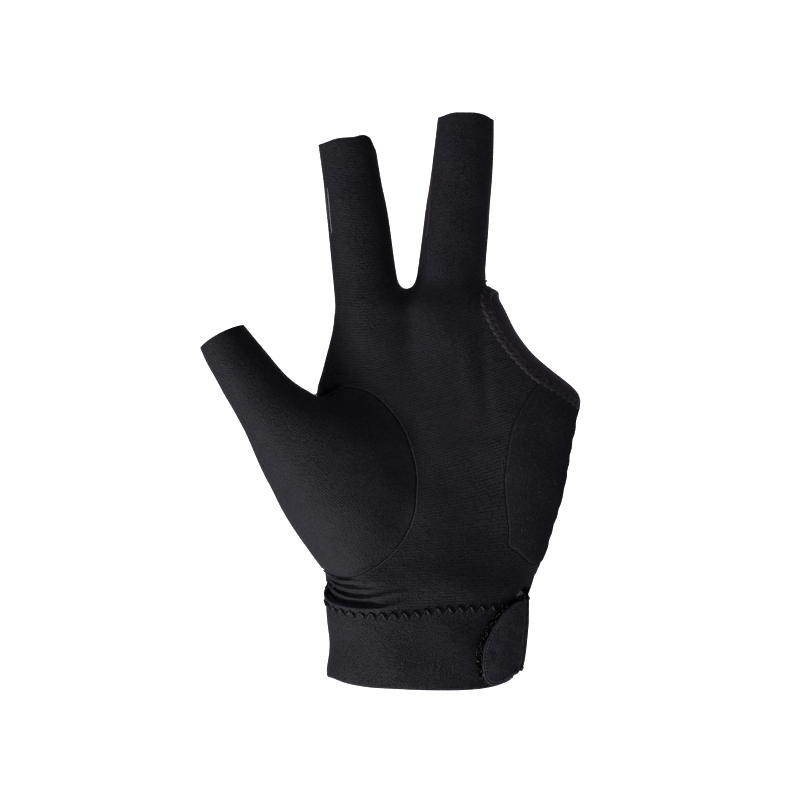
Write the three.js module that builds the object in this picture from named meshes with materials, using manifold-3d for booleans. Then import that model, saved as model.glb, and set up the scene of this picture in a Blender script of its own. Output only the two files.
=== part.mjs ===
// A three-finger billiard glove for the left hand, in the shape that it has when it is worn.
// It is an open wrist cuff, a palm panel and a back panel that run up into two open finger sleeves,
// a thumb panel, a side pad, a bound rim round the opening for the other two fingers, and a strap
// that closes over a hook patch.
//
// Millimetres. +Z runs from the wrist to the fingers, the palm faces -Y and the thumb lies towards -X.
// The origin is the centre of the wrist opening, in the plane of the cuff's hem.

import * as THREE from "three";
import { mergeVertices } from "three/addons/utils/BufferGeometryUtils.js";
import Module from "manifold-3d";

const wasm = await Module();
wasm.setup();

// Thicknesses and clearances
const CLOTH = 1.0; // wall of the stretch cloth
const BINDING_PROUD = 0.5; // how far the folded binding stands proud of the cloth, on each side
const CUFF_PROUD = 0.3; // how far the cuff stands proud of the cloth outside
const CUFF_WALL = 2.0;
const PATCH_THICKNESS = 1.0;
const STRAP_THICKNESS = 1.4;
const GAP = 0.3; // between neighbouring pieces
const OVERLAP = 0.05; // between two solids that are to be joined into one

// Places
const BINDING_WIDTH = 3.4;
const CUFF_TOP = { left: 24.6, right: 29.0, reach: 60 }; // height of its top edge at x = -reach and +reach
const SLIT = { y: -6.5, width: 2.0, topWidth: 8, top: 36.5 }; // the wrist slit on the little finger's side
const STRAP_END_X = 8; // where the strap ends on the back of the wrist
const FAR = 120; // further out than any part of the glove

// Mesh fineness
const STEPS = { hand: 1, finger: 1, thumb: 2 }; // rings for each row of a table
const SIDES = { hand: 36, finger: 20, thumb: 26 }; // corners round a ring
const SQUARENESS = { hand: 2.4, finger: 2.1, thumb: 2.1 }; // 2 is an ellipse, more is boxier

// Sections of the wrist and hand, from the hem up: edges at the thumb's side and the other side,
// and how far the palm and the back stand from the plane between them.
const HAND = [
  { z: 0.0, left: -34.3, right: 31.0, front: 21.2, back: 21.2 },
  { z: 6.0, left: -34.7, right: 31.6, front: 21.3, back: 21.3 },
  { z: 13.0, left: -34.4, right: 32.2, front: 21.1, back: 21.1 },
  { z: 20.0, left: -34.8, right: 32.6, front: 20.8, back: 20.8 },
  { z: 26.0, left: -35.2, right: 33.2, front: 20.5, back: 20.5 },
  { z: 29.0, left: -35.5, right: 34.2, front: 20.4, back: 20.3 },
  { z: 32.0, left: -35.8, right: 35.6, front: 20.2, back: 20.0 },
  { z: 35.0, left: -36.1, right: 36.8, front: 20.0, back: 19.6 },
  { z: 38.5, left: -36.6, right: 38.4, front: 19.6, back: 19.0 },
  { z: 44.0, left: -37.0, right: 41.0, front: 19.0, back: 18.0 },
  { z: 58.0, left: -37.6, right: 45.8, front: 18.6, back: 17.0 },
  { z: 72.0, left: -38.2, right: 49.0, front: 18.2, back: 16.4 },
  { z: 86.0, left: -38.6, right: 51.3, front: 17.4, back: 15.8 },
  { z: 97.5, left: -38.9, right: 52.9, front: 16.2, back: 15.0 },
  { z: 107.0, left: -37.2, right: 52.4, front: 15.0, back: 14.2 },
  { z: 118.0, left: -34.3, right: 51.0, front: 13.6, back: 13.2 },
  { z: 128.0, left: -32.8, right: 49.5, front: 12.0, back: 11.8 },
  { z: 133.5, left: -31.8, right: 48.5, front: 9.6, back: 9.4 },
  { z: 135.5, left: -29.0, right: 47.0, front: 5.0, back: 5.0 },
];

// Sections of the sleeves, from the hand to the open end: the ends of each section's long axis
// as [x, z], the depth of that axis, and how far the palm side and the back stand from it.
const INDEX = [
  { left: [-29.5, 112.0], right: [-9.0, 113.0], y: 0, front: 8.0, back: 8.0 },
  { left: [-32.2, 123.0], right: [-7.0, 124.2], y: 0, front: 10.2, back: 10.0 },
  { left: [-32.6, 131.5], right: [-8.8, 134.2], y: 0, front: 10.6, back: 10.4 },
  { left: [-33.3, 139.3], right: [-10.6, 142.0], y: 0, front: 10.2, back: 10.0 },
  { left: [-34.4, 151.9], right: [-12.4, 154.9], y: 0, front: 9.8, back: 9.6 },
  { left: [-35.7, 164.5], right: [-14.5, 167.3], y: 0, front: 9.3, back: 9.1 },
  { left: [-36.8, 177.1], right: [-17.0, 179.8], y: 0, front: 8.8, back: 8.6 },
  { left: [-37.9, 186.4], right: [-19.3, 189.0], y: 0, front: 8.3, back: 8.2 },
];
const MIDDLE = [
  { left: [-6.0, 114.0], right: [19.5, 113.6], y: 0, front: 10.0, back: 10.0 },
  { left: [-6.6, 124.0], right: [21.2, 123.4], y: 0, front: 11.4, back: 11.2 },
  { left: [-6.0, 132.3], right: [20.6, 131.4], y: 0, front: 11.0, back: 10.8 },
  { left: [-4.3, 139.3], right: [20.1, 138.0], y: 0, front: 10.6, back: 10.4 },
  { left: [-2.5, 149.4], right: [20.3, 147.8], y: 0, front: 10.2, back: 10.0 },
  { left: [-1.0, 160.3], right: [21.1, 158.6], y: 0, front: 9.8, back: 9.6 },
  { left: [0.7, 172.9], right: [22.1, 171.3], y: 0, front: 9.4, back: 9.2 },
  { left: [2.1, 185.5], right: [22.8, 184.0], y: 0, front: 9.0, back: 8.8 },
  { left: [3.7, 196.3], right: [22.9, 195.0], y: 0, front: 8.6, back: 8.4 },
];
const THUMB = [
  { left: [-34.2, 36.9], right: [-19.0, 33.0], y: -2, front: 8.0, back: 8.0 },
  { left: [-41.8, 45.5], right: [-11.0, 45.0], y: -4, front: 15.2, back: 14.6 },
  { left: [-48.7, 55.3], right: [-4.5, 61.0], y: -5, front: 17.6, back: 16.6 },
  { left: [-54.6, 65.8], right: [-6.5, 81.0], y: -6, front: 17.8, back: 16.4 },
  { left: [-59.5, 76.3], right: [-21.5, 95.0], y: -8, front: 16.0, back: 15.2 },
  { left: [-63.4, 85.6], right: [-40.6, 99.0], y: -10, front: 12.8, back: 12.8 },
  { left: [-67.6, 93.8], right: [-48.4, 104.6], y: -11.5, front: 10.8, back: 10.6 },
  { left: [-72.8, 102.0], right: [-54.3, 112.0], y: -12, front: 9.8, back: 9.6 },
  { left: [-77.1, 110.0], right: [-60.0, 118.8], y: -12, front: 8.9, back: 8.8 },
  { left: [-79.6, 115.5], right: [-64.6, 123.0], y: -12, front: 8.3, back: 8.2 },
];

// Folds that gather between the thumb's base and the cuff, each a soft ridge round the thumb's side
// of the wrist: its height there, how far it sinks towards the palm, where it fades, and its size.
const FOLDS = [
  { z: 28.6, sink: 0.6, fadeX: -2, height: 1.5, halfWidth: 1.7 },
  { z: 32.3, sink: 1.6, fadeX: -8, height: 0.9, halfWidth: 1.1 },
  { z: 35.0, sink: 2.2, fadeX: -12, height: 0.8, halfWidth: 1.0 },
  { z: 37.6, sink: 2.6, fadeX: -16, height: 0.6, halfWidth: 0.9 },
];
const FOLD_BAND = { low: 26, high: 40, step: 1.5 }; // the hand has a ring at each step here

// The seam down each side, where the palm side meets the back: its depth at each height
const SIDE_SEAM = [
  { z: -FAR, y: -1.0 },
  { z: 112, y: -1.0 },
  { z: 136, y: -3.4 },
  { z: 2 * FAR, y: -3.4 },
];

// Seams and rims, drawn on the glove as it is seen from the palm, as [x, z]. The piece that a line
// bounds lies on its right-hand side, and the corners of the matching side close the outline.
const THUMB_SEAM = {
  front: [
    [-50.0, 122.0], [-44.5, 110.0], [-38.9, 99.8], [-31.8, 101.2], [-24.0, 101.6], [-12.5, 92.7],
    [-5.0, 76.0], [-4.6, 61.5], [-12.0, 47.8], [-24.0, 39.6], [-35.5, 38.0], [-46.0, 36.0],
  ],
  back: [
    [-50.0, 122.0], [-44.5, 110.0], [-39.5, 101.0], [-34.0, 90.0], [-29.0, 74.0], [-29.0, 58.0],
    [-32.5, 45.0], [-37.5, 38.0], [-46.0, 36.0],
  ],
};
const THUMB_SIDE = [[-FAR, 36], [-FAR, 150], [-60, 150]]; // closes the thumb's region
const PAD_SEAM = [
  [41.5, 42.0], [32.5, 45.0], [28.2, 53.0], [26.8, 66.0],
  [27.2, 80.0], [31.2, 93.8], [38.0, 104.5], [42.0, 112.0],
];
const PAD_SIDE = [[FAR, 118], [FAR, 42]];
const RIM = {
  front: [[54.5, 96.5], [47.5, 103.6], [40.0, 109.2], [29.4, 119.2], [23.6, 129.0], [21.2, 135.2]],
  back: [[54.5, 97.0], [47.5, 104.4], [41.2, 109.8], [33.0, 118.4], [27.2, 129.0], [24.4, 136.6]],
};
const RIM_SIDE = [[32, 160], [FAR, 160], [FAR, 96]];

// The hook patch and the strap's end, seen from the palm
const PATCH_OUTLINE = [
  [33.6, 29.4], [24.6, 28.2], [18.8, 22.4], [15.9, 13.0],
  [16.4, 5.2], [19.4, 0.8], [27.0, 1.0], [33.0, 2.6],
];
const STRAP_OUTLINE = [
  [35.5, 29.4], [27.4, 27.8], [21.4, 21.8], [18.0, 12.6],
  [18.2, 6.4], [21.2, 1.2], [27.0, 1.2], [33.0, 2.6],
];
const STRAP_BACK = { low: 2.6, high: 29.4 };
const STRAP_RAMP = { from: -9, to: 1 }; // across these depths the strap comes down on to the cuff

const COLOURS = {
  cloth: 0x1c1c20,
  mesh: 0x2a282b,
  pad: 0x18181b,
  binding: 0x25232a,
  cuff: 0x1b1b1f,
  patch: 0x0d0d0e,
  strap: 0x212226,
};

// Catmull-Rom between b and c, with the neighbours a and d, at t from 0 to 1.
function between(a, b, c, d, t) {
  if (Array.isArray(b)) return b.map((_, i) => between(a[i], b[i], c[i], d[i], t));
  const [linear, square, cube] = [c - a, 2 * a - 5 * b + 4 * c - d, 3 * b - a - 3 * c + d];
  return 0.5 * (2 * b + linear * t + square * t ** 2 + cube * t ** 3);
}

function rowBetween(rows, k, t) {
  const near = [k - 1, k, k + 1, k + 2].map((i) => rows[Math.min(Math.max(i, 0), rows.length - 1)]);
  const column = (key) => between(...near.map((row) => row[key]), t);
  return Object.fromEntries(Object.keys(rows[k]).map((key) => [key, column(key)]));
}

function resample(rows, steps) {
  const fine = [];
  for (let k = 0; k < rows.length - 1; k++)
    for (let s = 0; s < steps; s++) fine.push(rowBetween(rows, k, s / steps));
  return [...fine, rows.at(-1)];
}

// The hand's table with the rows of the fold band spaced closely and its edges as [x, z] points.
function handRows() {
  const { low, high, step } = FOLD_BAND;
  const rows = resample(HAND, STEPS.hand).filter(({ z }) => z < low || z > high);
  for (let z = low; z <= high; z += step) {
    const k = HAND.findIndex((row, i) => row.z <= z && HAND[i + 1].z > z);
    rows.push({ ...rowBetween(HAND, k, (z - HAND[k].z) / (HAND[k + 1].z - HAND[k].z)), z });
  }
  rows.sort((a, b) => a.z - b.z);
  return rows.map(({ z, left, right, front, back }) => {
    return { left: [left, z], right: [right, z], y: 0, front, back };
  });
}

// How far the folds lift the cloth outwards at a point of the hand.
function foldLift(x, y, z) {
  let lift = 0;
  for (const { z: ridge, sink, fadeX, height, halfWidth } of FOLDS) {
    const along = THREE.MathUtils.clamp((fadeX - x) / (fadeX - HAND[4].left), 0, 1);
    const sunk = ridge - sink * THREE.MathUtils.smoothstep(-y, 0, HAND[4].front);
    const palmSide = THREE.MathUtils.smoothstep(-y, -8, 0);
    const across = Math.exp(-(((z - sunk) / halfWidth) ** 2));
    lift += height * palmSide * Math.sin((along * Math.PI) / 2) * across;
  }
  return lift;
}

// One ring of a limb, grown outwards by grow, which may be a function of the point's depth.
function ring(row, sides, squareness, grow, lift) {
  const [xl, zl] = row.left;
  const [xr, zr] = row.right;
  const half = Math.hypot(xr - xl, zr - zl) / 2;
  const across = [(xr - xl) / (2 * half), (zr - zl) / (2 * half)];
  const points = [];
  for (let i = 0; i < sides; i++) {
    const angle = (2 * Math.PI * i) / sides;
    const [c, s] = [Math.cos(angle), Math.sin(angle)];
    const u = Math.sign(c) * Math.abs(c) ** (2 / squareness);
    const v = Math.sign(s) * Math.abs(s) ** (2 / squareness);
    const depth = v < 0 ? row.front : row.back;
    const y = row.y + v * depth;
    const extra = (typeof grow === "function" ? grow(y) : grow) + lift(xl + half * (u + 1), y, zl);
    const along = (half + extra) * u;
    const [x, z] = [(xl + xr) / 2 + along * across[0], (zl + zr) / 2 + along * across[1]];
    points.push([x, row.y + (depth + extra) * v, z]);
  }
  return points;
}

// A closed solid through rings that all have the same number of points.
function loft(rings) {
  const sides = rings[0].length;
  const middle = (points) => [0, 1, 2].map((i) => points.reduce((sum, p) => sum + p[i], 0) / sides);
  const vertices = [...rings.flat(), middle(rings[0]), middle(rings.at(-1))];
  const [bottom, top] = [vertices.length - 2, vertices.length - 1];
  const faces = [];
  for (let i = 0; i < sides; i++) {
    const next = (i + 1) % sides;
    for (let k = 0; k < rings.length - 1; k++) {
      const [a, b] = [k * sides + i, k * sides + next];
      faces.push([a, b, b + sides], [a, b + sides, a + sides]);
    }
    const last = (rings.length - 1) * sides;
    faces.push([bottom, next, i], [top, last + i, last + next]);
  }
  return new wasm.Manifold(
    new wasm.Mesh({
      numProp: 3,
      vertProperties: new Float32Array(vertices.flat()),
      triVerts: new Uint32Array(faces.flat()),
    }),
  );
}

// A row as far past the end of the table as the second-last row lies before it, times share.
function beyond(last, previous, share) {
  const step = (a, b) => (Array.isArray(a) ? a.map((v, i) => step(v, b[i])) : a + (a - b) * share);
  return { ...last, left: step(last.left, previous.left), right: step(last.right, previous.right) };
}

const NO_LIFT = () => 0;
const HAND_ROWS = handRows();
const SLEEVES = [
  { rows: resample(INDEX, STEPS.finger), sides: SIDES.finger, squareness: SQUARENESS.finger },
  { rows: resample(MIDDLE, STEPS.finger), sides: SIDES.finger, squareness: SQUARENESS.finger },
  { rows: resample(THUMB, STEPS.thumb), sides: SIDES.thumb, squareness: SQUARENESS.thumb },
];

// The wrist and hand, grown by grow. Where it is run past its open end, it makes a hollow.
function handSolid(grow, pastEnd = false) {
  const rows = [...HAND_ROWS];
  if (pastEnd) {
    rows.unshift(beyond(rows[0], rows[1], 1));
    rows.push(beyond(rows.pop(), rows.at(-1), -CLOTH / 2));
  }
  return loft(rows.map((row) => ring(row, SIDES.hand, SQUARENESS.hand, grow, foldLift)));
}

// The whole hand with its sleeves, grown by grow.
function wholeSolid(grow, pastEnds = false) {
  const sleeves = SLEEVES.map(({ rows, sides, squareness }) => {
    const all = pastEnds ? [...rows, beyond(rows.at(-1), rows.at(-2), 1)] : rows;
    return loft(all.map((row) => ring(row, sides, squareness, grow, NO_LIFT)));
  });
  return sleeves.reduce((sum, sleeve) => sum.add(sleeve), handSolid(grow, pastEnds));
}

// The wall of the glove between two distances from its outer surface.
function wall(outside, inside) {
  return wholeSolid(outside).subtract(wholeSolid(inside, true));
}

// A smooth line through points, shifted to its right-hand side by shift.
function line(points, shift = 0) {
  const curve = new THREE.SplineCurve(points.map(([x, z]) => new THREE.Vector2(x, z)));
  const count = 4 * (points.length - 1);
  return Array.from({ length: count + 1 }, (_, i) => {
    const tangent = curve.getTangent(i / count);
    return curve.getPoint(i / count).add(new THREE.Vector2(tangent.y, -tangent.x).multiplyScalar(shift));
  });
}

// A prism that is seen from the palm as the given outline, from depth y0 to depth y1.
function prism(outline, y0 = -FAR, y1 = FAR) {
  const shape = new THREE.Shape(outline.map((p) => (p.isVector2 ? p : new THREE.Vector2(...p))));
  const extruded = new THREE.ExtrudeGeometry(shape, { depth: y1 - y0, bevelEnabled: false });
  return solid(extruded.rotateX(Math.PI / 2).translate(0, y1, 0));
}

function solid(geometry) {
  geometry.deleteAttribute("normal");
  geometry.deleteAttribute("uv");
  const merged = mergeVertices(geometry, 1e-4);
  return new wasm.Manifold(
    new wasm.Mesh({
      numProp: 3,
      vertProperties: merged.getAttribute("position").array,
      triVerts: new Uint32Array(merged.index.array),
    }),
  );
}

// A prism that is seen from the side as the given outline of [y, z] points, from x0 to x1.
function sidePrism(outline, x0 = -FAR, x1 = FAR) {
  const shape = new THREE.Shape(outline.map(([y, z]) => new THREE.Vector2(y, z)));
  const extruded = new THREE.ExtrudeGeometry(shape, { depth: x1 - x0, bevelEnabled: false });
  return solid(extruded.rotateX(Math.PI / 2).rotateZ(Math.PI / 2).translate(x0, 0, 0));
}

// Everything on the palm side of the side seam, or on the back, drawn back from the seam by shift.
function palmSide(shift = 0) {
  return sidePrism([...SIDE_SEAM.map(({ y, z }) => [y - shift, z]), [-FAR, 2 * FAR], [-FAR, -FAR]]);
}
function backSide(shift = 0) {
  return sidePrism([...SIDE_SEAM.map(({ y, z }) => [y + shift, z]), [FAR, 2 * FAR], [FAR, -FAR]]);
}

// The region of a seam: its line on the palm side and its line on the back, closed by corners.
// A shift moves both lines inwards, so that a piece and its neighbour can keep a gap.
function region(seam, corners, shift) {
  const front = prism([...line(seam.front, shift), ...corners]).intersect(palmSide(-OVERLAP));
  const back = prism([...line(seam.back, shift), ...corners]).intersect(backSide(-OVERLAP));
  return front.add(back);
}

const thumbRegion = (shift) => region(THUMB_SEAM, THUMB_SIDE, shift);
const openRegion = (shift) => region(RIM, RIM_SIDE, shift);
const padRegion = (shift) => prism([...line(PAD_SEAM, shift), ...PAD_SIDE]);

// Everything below the cuff's top edge, moved up by rise.
function cuffRegion(rise) {
  const { left, right, reach } = CUFF_TOP;
  return prism([[-reach, -reach], [reach, -reach], [reach, right + rise], [-reach, left + rise]]);
}

// The slit on the little finger's side: a narrow gap in the cuff and a V above it.
function slitSolid() {
  const [narrow, wide] = [SLIT.width / 2, SLIT.topWidth / 2];
  const outline = [
    [SLIT.y - narrow, -FAR],
    [SLIT.y + narrow, -FAR],
    [SLIT.y + narrow, CUFF_TOP.right - 2],
    [SLIT.y + wide, CUFF_TOP.right],
    [SLIT.y + SLIT.width, SLIT.top],
    [SLIT.y - wide, CUFF_TOP.right],
    [SLIT.y - narrow, CUFF_TOP.right - 2],
  ];
  return sidePrism(outline, 0, FAR);
}

// A layer that lies on the wrist, between two distances from its outer surface.
function wristLayer(inside, outside) {
  return handSolid(outside).subtract(handSolid(inside, true));
}

function palmPanel(cloth) {
  return cloth
    .intersect(palmSide(GAP / 2))
    .subtract(thumbRegion(-GAP / 2))
    .subtract(padRegion(-GAP / 2))
    .subtract(openRegion(-BINDING_WIDTH - GAP / 2))
    .subtract(cuffRegion(GAP / 2))
    .subtract(slitSolid());
}

function backPanel(cloth) {
  return cloth
    .intersect(backSide(GAP / 2))
    .subtract(thumbRegion(-GAP / 2))
    .subtract(openRegion(-BINDING_WIDTH - GAP / 2))
    .subtract(cuffRegion(GAP / 2))
    .subtract(slitSolid());
}

function thumbPanel(cloth) {
  return cloth.intersect(thumbRegion(GAP / 2)).subtract(cuffRegion(GAP / 2));
}

function sidePad(cloth) {
  return cloth
    .intersect(palmSide(GAP / 2))
    .intersect(padRegion(GAP / 2))
    .subtract(openRegion(-BINDING_WIDTH - GAP / 2));
}

function rimBinding() {
  const thick = wall(BINDING_PROUD, -CLOTH - BINDING_PROUD);
  return thick.intersect(openRegion(-BINDING_WIDTH + GAP / 2)).subtract(openRegion(0));
}

function wristCuff() {
  const layer = wristLayer(CUFF_PROUD - CUFF_WALL, CUFF_PROUD);
  return layer.intersect(cuffRegion(-GAP / 2)).subtract(slitSolid());
}

const PATCH_INSIDE = CUFF_PROUD + GAP;
const PATCH_OUTSIDE = PATCH_INSIDE + PATCH_THICKNESS;

function hookPatch() {
  const layer = wristLayer(PATCH_INSIDE, PATCH_OUTSIDE);
  const outline = prism([...line(PATCH_OUTLINE), [FAR, 3], [FAR, 29]], -FAR, STRAP_RAMP.from + 1);
  return layer.intersect(outline);
}

// The strap lies on the patch at the palm side and on the cuff at the back.
function closureStrap() {
  const ramp = (y) => THREE.MathUtils.smoothstep(y, STRAP_RAMP.from, STRAP_RAMP.to);
  const inside = (y) => THREE.MathUtils.lerp(PATCH_OUTSIDE + GAP, PATCH_INSIDE, ramp(y));
  const outside = (y) => inside(y) + STRAP_THICKNESS;
  const { low, high } = STRAP_BACK;
  const front = prism([...line(STRAP_OUTLINE), [FAR, low], [FAR, high]], -FAR, 0);
  const back = prism([[STRAP_END_X, low], [FAR, low], [FAR, high], [STRAP_END_X, high]], 0, FAR);
  return wristLayer(inside, outside).intersect(front.add(back));
}

function meshOf(name, made, colour, roughness) {
  const { vertProperties, triVerts, numProp } = made.getMesh();
  const count = vertProperties.length / numProp;
  const positions = new Float32Array(3 * count);
  for (let i = 0; i < count; i++) {
    positions.set(vertProperties.subarray(i * numProp, i * numProp + 3), 3 * i);
  }
  const geometry = new THREE.BufferGeometry();
  geometry.setAttribute("position", new THREE.BufferAttribute(positions, 3));
  geometry.setIndex(new THREE.BufferAttribute(new Uint32Array(triVerts), 1));
  geometry.computeVertexNormals();
  const material = new THREE.MeshStandardMaterial({ color: colour, roughness, metalness: 0 });
  const mesh = new THREE.Mesh(geometry, material);
  mesh.name = name;
  return mesh;
}

const cloth = wall(0, -CLOTH);
const glove = new THREE.Group();
glove.add(
  meshOf("palm_panel", palmPanel(cloth), COLOURS.cloth, 0.6),
  meshOf("back_panel", backPanel(cloth), COLOURS.mesh, 0.8),
  meshOf("thumb_panel", thumbPanel(cloth), COLOURS.cloth, 0.5),
  meshOf("side_pad", sidePad(cloth), COLOURS.pad, 0.9),
  meshOf("rim_binding", rimBinding(), COLOURS.binding, 0.6),
  meshOf("wrist_cuff", wristCuff(), COLOURS.cuff, 0.6),
  meshOf("hook_patch", hookPatch(), COLOURS.patch, 1.0),
  meshOf("closure_strap", closureStrap(), COLOURS.strap, 0.8),
);

export default glove;
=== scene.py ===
import math

import bpy
import numpy as np
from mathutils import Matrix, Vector


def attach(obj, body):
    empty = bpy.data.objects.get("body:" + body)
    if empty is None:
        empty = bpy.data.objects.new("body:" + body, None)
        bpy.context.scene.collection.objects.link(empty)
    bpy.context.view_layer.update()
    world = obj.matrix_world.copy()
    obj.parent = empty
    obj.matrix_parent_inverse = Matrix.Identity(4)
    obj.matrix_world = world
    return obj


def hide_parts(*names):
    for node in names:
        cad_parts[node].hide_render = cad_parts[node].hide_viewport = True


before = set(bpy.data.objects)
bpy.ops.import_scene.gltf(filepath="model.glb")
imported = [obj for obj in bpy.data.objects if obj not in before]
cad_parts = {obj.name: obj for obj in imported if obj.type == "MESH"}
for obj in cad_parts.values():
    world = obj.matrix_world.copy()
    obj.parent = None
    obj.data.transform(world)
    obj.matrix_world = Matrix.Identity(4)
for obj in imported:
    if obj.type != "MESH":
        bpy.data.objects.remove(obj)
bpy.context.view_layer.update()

# The glove's lengths are in millimetres until a mesh is made, and the studio's are in metres. "Seen"
# means carried along the camera's lines of sight on to the plane y = 0, where the photo was measured.
MM = 0.001
EYE = np.array([-9.8, -600.0, 97.3])
SENSOR_WIDTH, FOCAL_LENGTH, CLIPPING = 36, 77.14, (0.05, 30)
FAR = 1000  # further out than any part of the glove
THICKNESS = {"cloth": 0.8, "pad": 1.1, "cuff": 1.8, "patch": 0.9, "strap": 1.3}
rng = np.random.default_rng(7)

# Camera and lights.


def make_camera():
    data = bpy.data.cameras.new("camera")
    data.sensor_width, data.lens = SENSOR_WIDTH, FOCAL_LENGTH
    data.clip_start, data.clip_end = CLIPPING
    camera = bpy.data.objects.new("camera", data)
    camera.location = EYE * MM
    camera.rotation_euler = (math.radians(90), 0, 0)
    bpy.context.scene.collection.objects.link(camera)
    bpy.context.scene.camera = camera


def make_light(name, place, target, size, power, colour=(1, 1, 1)):
    data = bpy.data.lights.new(name, "AREA")
    data.shape = "RECTANGLE"
    data.size, data.size_y = size
    data.energy = power
    data.color = colour
    light = bpy.data.objects.new(name, data)
    light.location = place
    way = np.array(target, float) - np.array(place, float)
    light.rotation_euler = Vector(way).to_track_quat("-Z", "Y").to_euler()
    bpy.context.scene.collection.objects.link(light)
    return light


make_camera()

# Tables.

# Wrist and hand: height, edges at the thumb's side and the other side, palm and back depths.
HAND = np.array([
    [-8.0, -34.8, 28.6, 21.2, 21.2],
    [0.0, -35.2, 29.6, 21.2, 21.2],
    [3.5, -35.4, 30.4, 21.3, 21.3],
    [7.2, -34.7, 31.2, 21.3, 21.3],
    [12.5, -34.3, 31.9, 21.1, 21.1],
    [18.4, -35.0, 32.5, 20.8, 20.8],
    [24.0, -35.5, 33.2, 20.5, 20.5],
    [28.0, -35.6, 34.8, 20.4, 20.3],
    [32.0, -35.7, 36.4, 20.2, 20.0],
    [35.0, -35.8, 37.2, 20.0, 19.6],
    [38.5, -36.2, 38.5, 19.6, 19.0],
    [42.7, -36.9, 40.6, 19.0, 18.4],
    [46.9, -37.0, 41.8, 18.9, 18.0],
    [51.1, -37.2, 43.0, 18.8, 17.4],
    [55.3, -37.4, 44.3, 18.7, 17.2],
    [59.5, -37.6, 45.7, 18.6, 17.0],
    [63.7, -37.8, 46.8, 18.5, 16.8],
    [67.9, -38.0, 47.7, 18.3, 16.6],
    [72.1, -38.2, 48.5, 18.2, 16.4],
    [80.5, -38.4, 49.9, 17.8, 16.1],
    [88.9, -38.7, 51.6, 17.2, 15.7],
    [97.5, -39.5, 52.8, 16.2, 15.0],
    [101.5, -38.9, 52.8, 15.8, 14.6],
    [105.7, -37.5, 52.4, 15.3, 14.2],
    [109.9, -36.4, 51.9, 14.8, 13.9],
    [114.1, -35.3, 51.4, 14.2, 13.5],
    [118.3, -34.2, 51.0, 13.6, 13.2],
    [122.5, -33.3, 50.4, 13.0, 12.7],
    [126.7, -32.9, 49.8, 12.5, 12.3],
    [130.9, -32.6, 49.0, 12.0, 11.8],
    [136.0, -32.6, 48.4, 11.6, 11.4],
])
INDEX = np.array([
    [112.0, -29.0, -10.0, 8.0, 8.0],
    [119.0, -30.6, -8.0, 9.4, 9.2],
    [124.0, -32.0, -7.4, 10.2, 10.0],
    [130.9, -32.6, -8.6, 10.6, 10.4],
    [135.1, -32.9, -9.8, 10.5, 10.2],
    [139.3, -33.3, -10.6, 10.2, 10.0],
    [147.7, -34.1, -11.9, 9.9, 9.7],
    [156.1, -34.9, -13.0, 9.6, 9.4],
    [164.5, -35.8, -14.3, 9.3, 9.1],
    [172.9, -36.6, -16.1, 9.0, 8.8],
    [181.3, -37.7, -17.5, 8.6, 8.4],
    [189.0, -38.8, -18.8, 8.3, 8.2],
])
MIDDLE = np.array([
    [112.0, -4.0, 18.0, 9.0, 9.0],
    [119.0, -5.6, 19.6, 10.6, 10.4],
    [126.0, -6.2, 20.2, 11.2, 11.0],
    [131.0, -5.4, 20.2, 11.1, 10.9],
    [135.1, -4.9, 20.0, 10.8, 10.6],
    [139.3, -4.2, 20.0, 10.6, 10.4],
    [147.7, -3.0, 20.5, 10.2, 10.0],
    [156.1, -1.9, 21.2, 9.9, 9.7],
    [164.5, -0.9, 21.7, 9.6, 9.4],
    [172.9, 0.5, 22.4, 9.4, 9.2],
    [181.3, 1.6, 22.9, 9.1, 8.9],
    [189.7, 2.6, 23.1, 8.8, 8.6],
    [197.0, 3.5, 23.1, 8.6, 8.4],
])
# Thumb, in a frame turned by 30 degrees: distance along it, its edges across it as they are seen,
# the depth of its middle, and its palm and back depths.
THUMB_ALONG = np.array([-0.5, 0.8660254])
THUMB_ACROSS = np.array([0.8660254, 0.5])
THUMB = np.array([
    [46.0, -12.2, 9.0, -3.0, 10.0, 9.0],
    [51.2, -12.7, 20.0, -4.0, 14.6, 13.8],
    [60.3, -13.6, 30.0, -5.0, 17.4, 16.2],
    [72.2, -14.6, 34.8, -6.0, 18.0, 16.8],
    [84.3, -14.4, 34.2, -7.0, 17.2, 15.6],
    [95.8, -13.4, 26.0, -9.0, 14.4, 13.6],
    [105.8, -12.2, 14.8, -11.0, 11.4, 11.2],
    [109.8, -12.0, 12.5, -11.4, 10.7, 10.5],
    [115.0, -11.8, 10.1, -11.8, 10.0, 9.8],
    [124.7, -12.1, 8.3, -12.0, 9.3, 9.2],
    [133.8, -12.0, 6.8, -12.0, 8.5, 8.4],
    [141.0, -11.1, 5.4, -12.0, 8.1, 8.0],
])
SQUARENESS = {"hand": 2.35, "finger": 2.1, "thumb": 2.1}

# Seams and edges as they are seen from the camera.
THUMB_SEAM_FRONT = [
    (-52.0, 124.0), (-44.5, 110.0), (-39.2, 99.0), (-37.0, 98.6), (-35.0, 98.7), (-32.8, 100.0),
    (-31.1, 101.2), (-26.0, 101.4), (-21.0, 100.1), (-16.5, 97.0), (-12.6, 92.8), (-8.7, 87.1),
    (-5.9, 79.8), (-4.2, 72.0), (-4.2, 65.2), (-5.0, 57.4), (-7.6, 50.7), (-12.0, 44.5),
    (-18.2, 39.2), (-23.8, 36.1), (-29.0, 35.2), (-34.0, 36.0), (-37.5, 37.6), (-52.0, 36.0),
]
THUMB_SEAM_BACK = [
    (-52.0, 124.0), (-44.5, 110.0), (-39.2, 99.0), (-35.0, 90.0), (-30.0, 76.0), (-29.0, 60.0),
    (-32.0, 46.0), (-37.5, 37.6), (-52.0, 36.0),
]
THUMB_CLOSE = [(-120.0, 36.0), (-120.0, 150.0), (-60.0, 150.0)]
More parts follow.
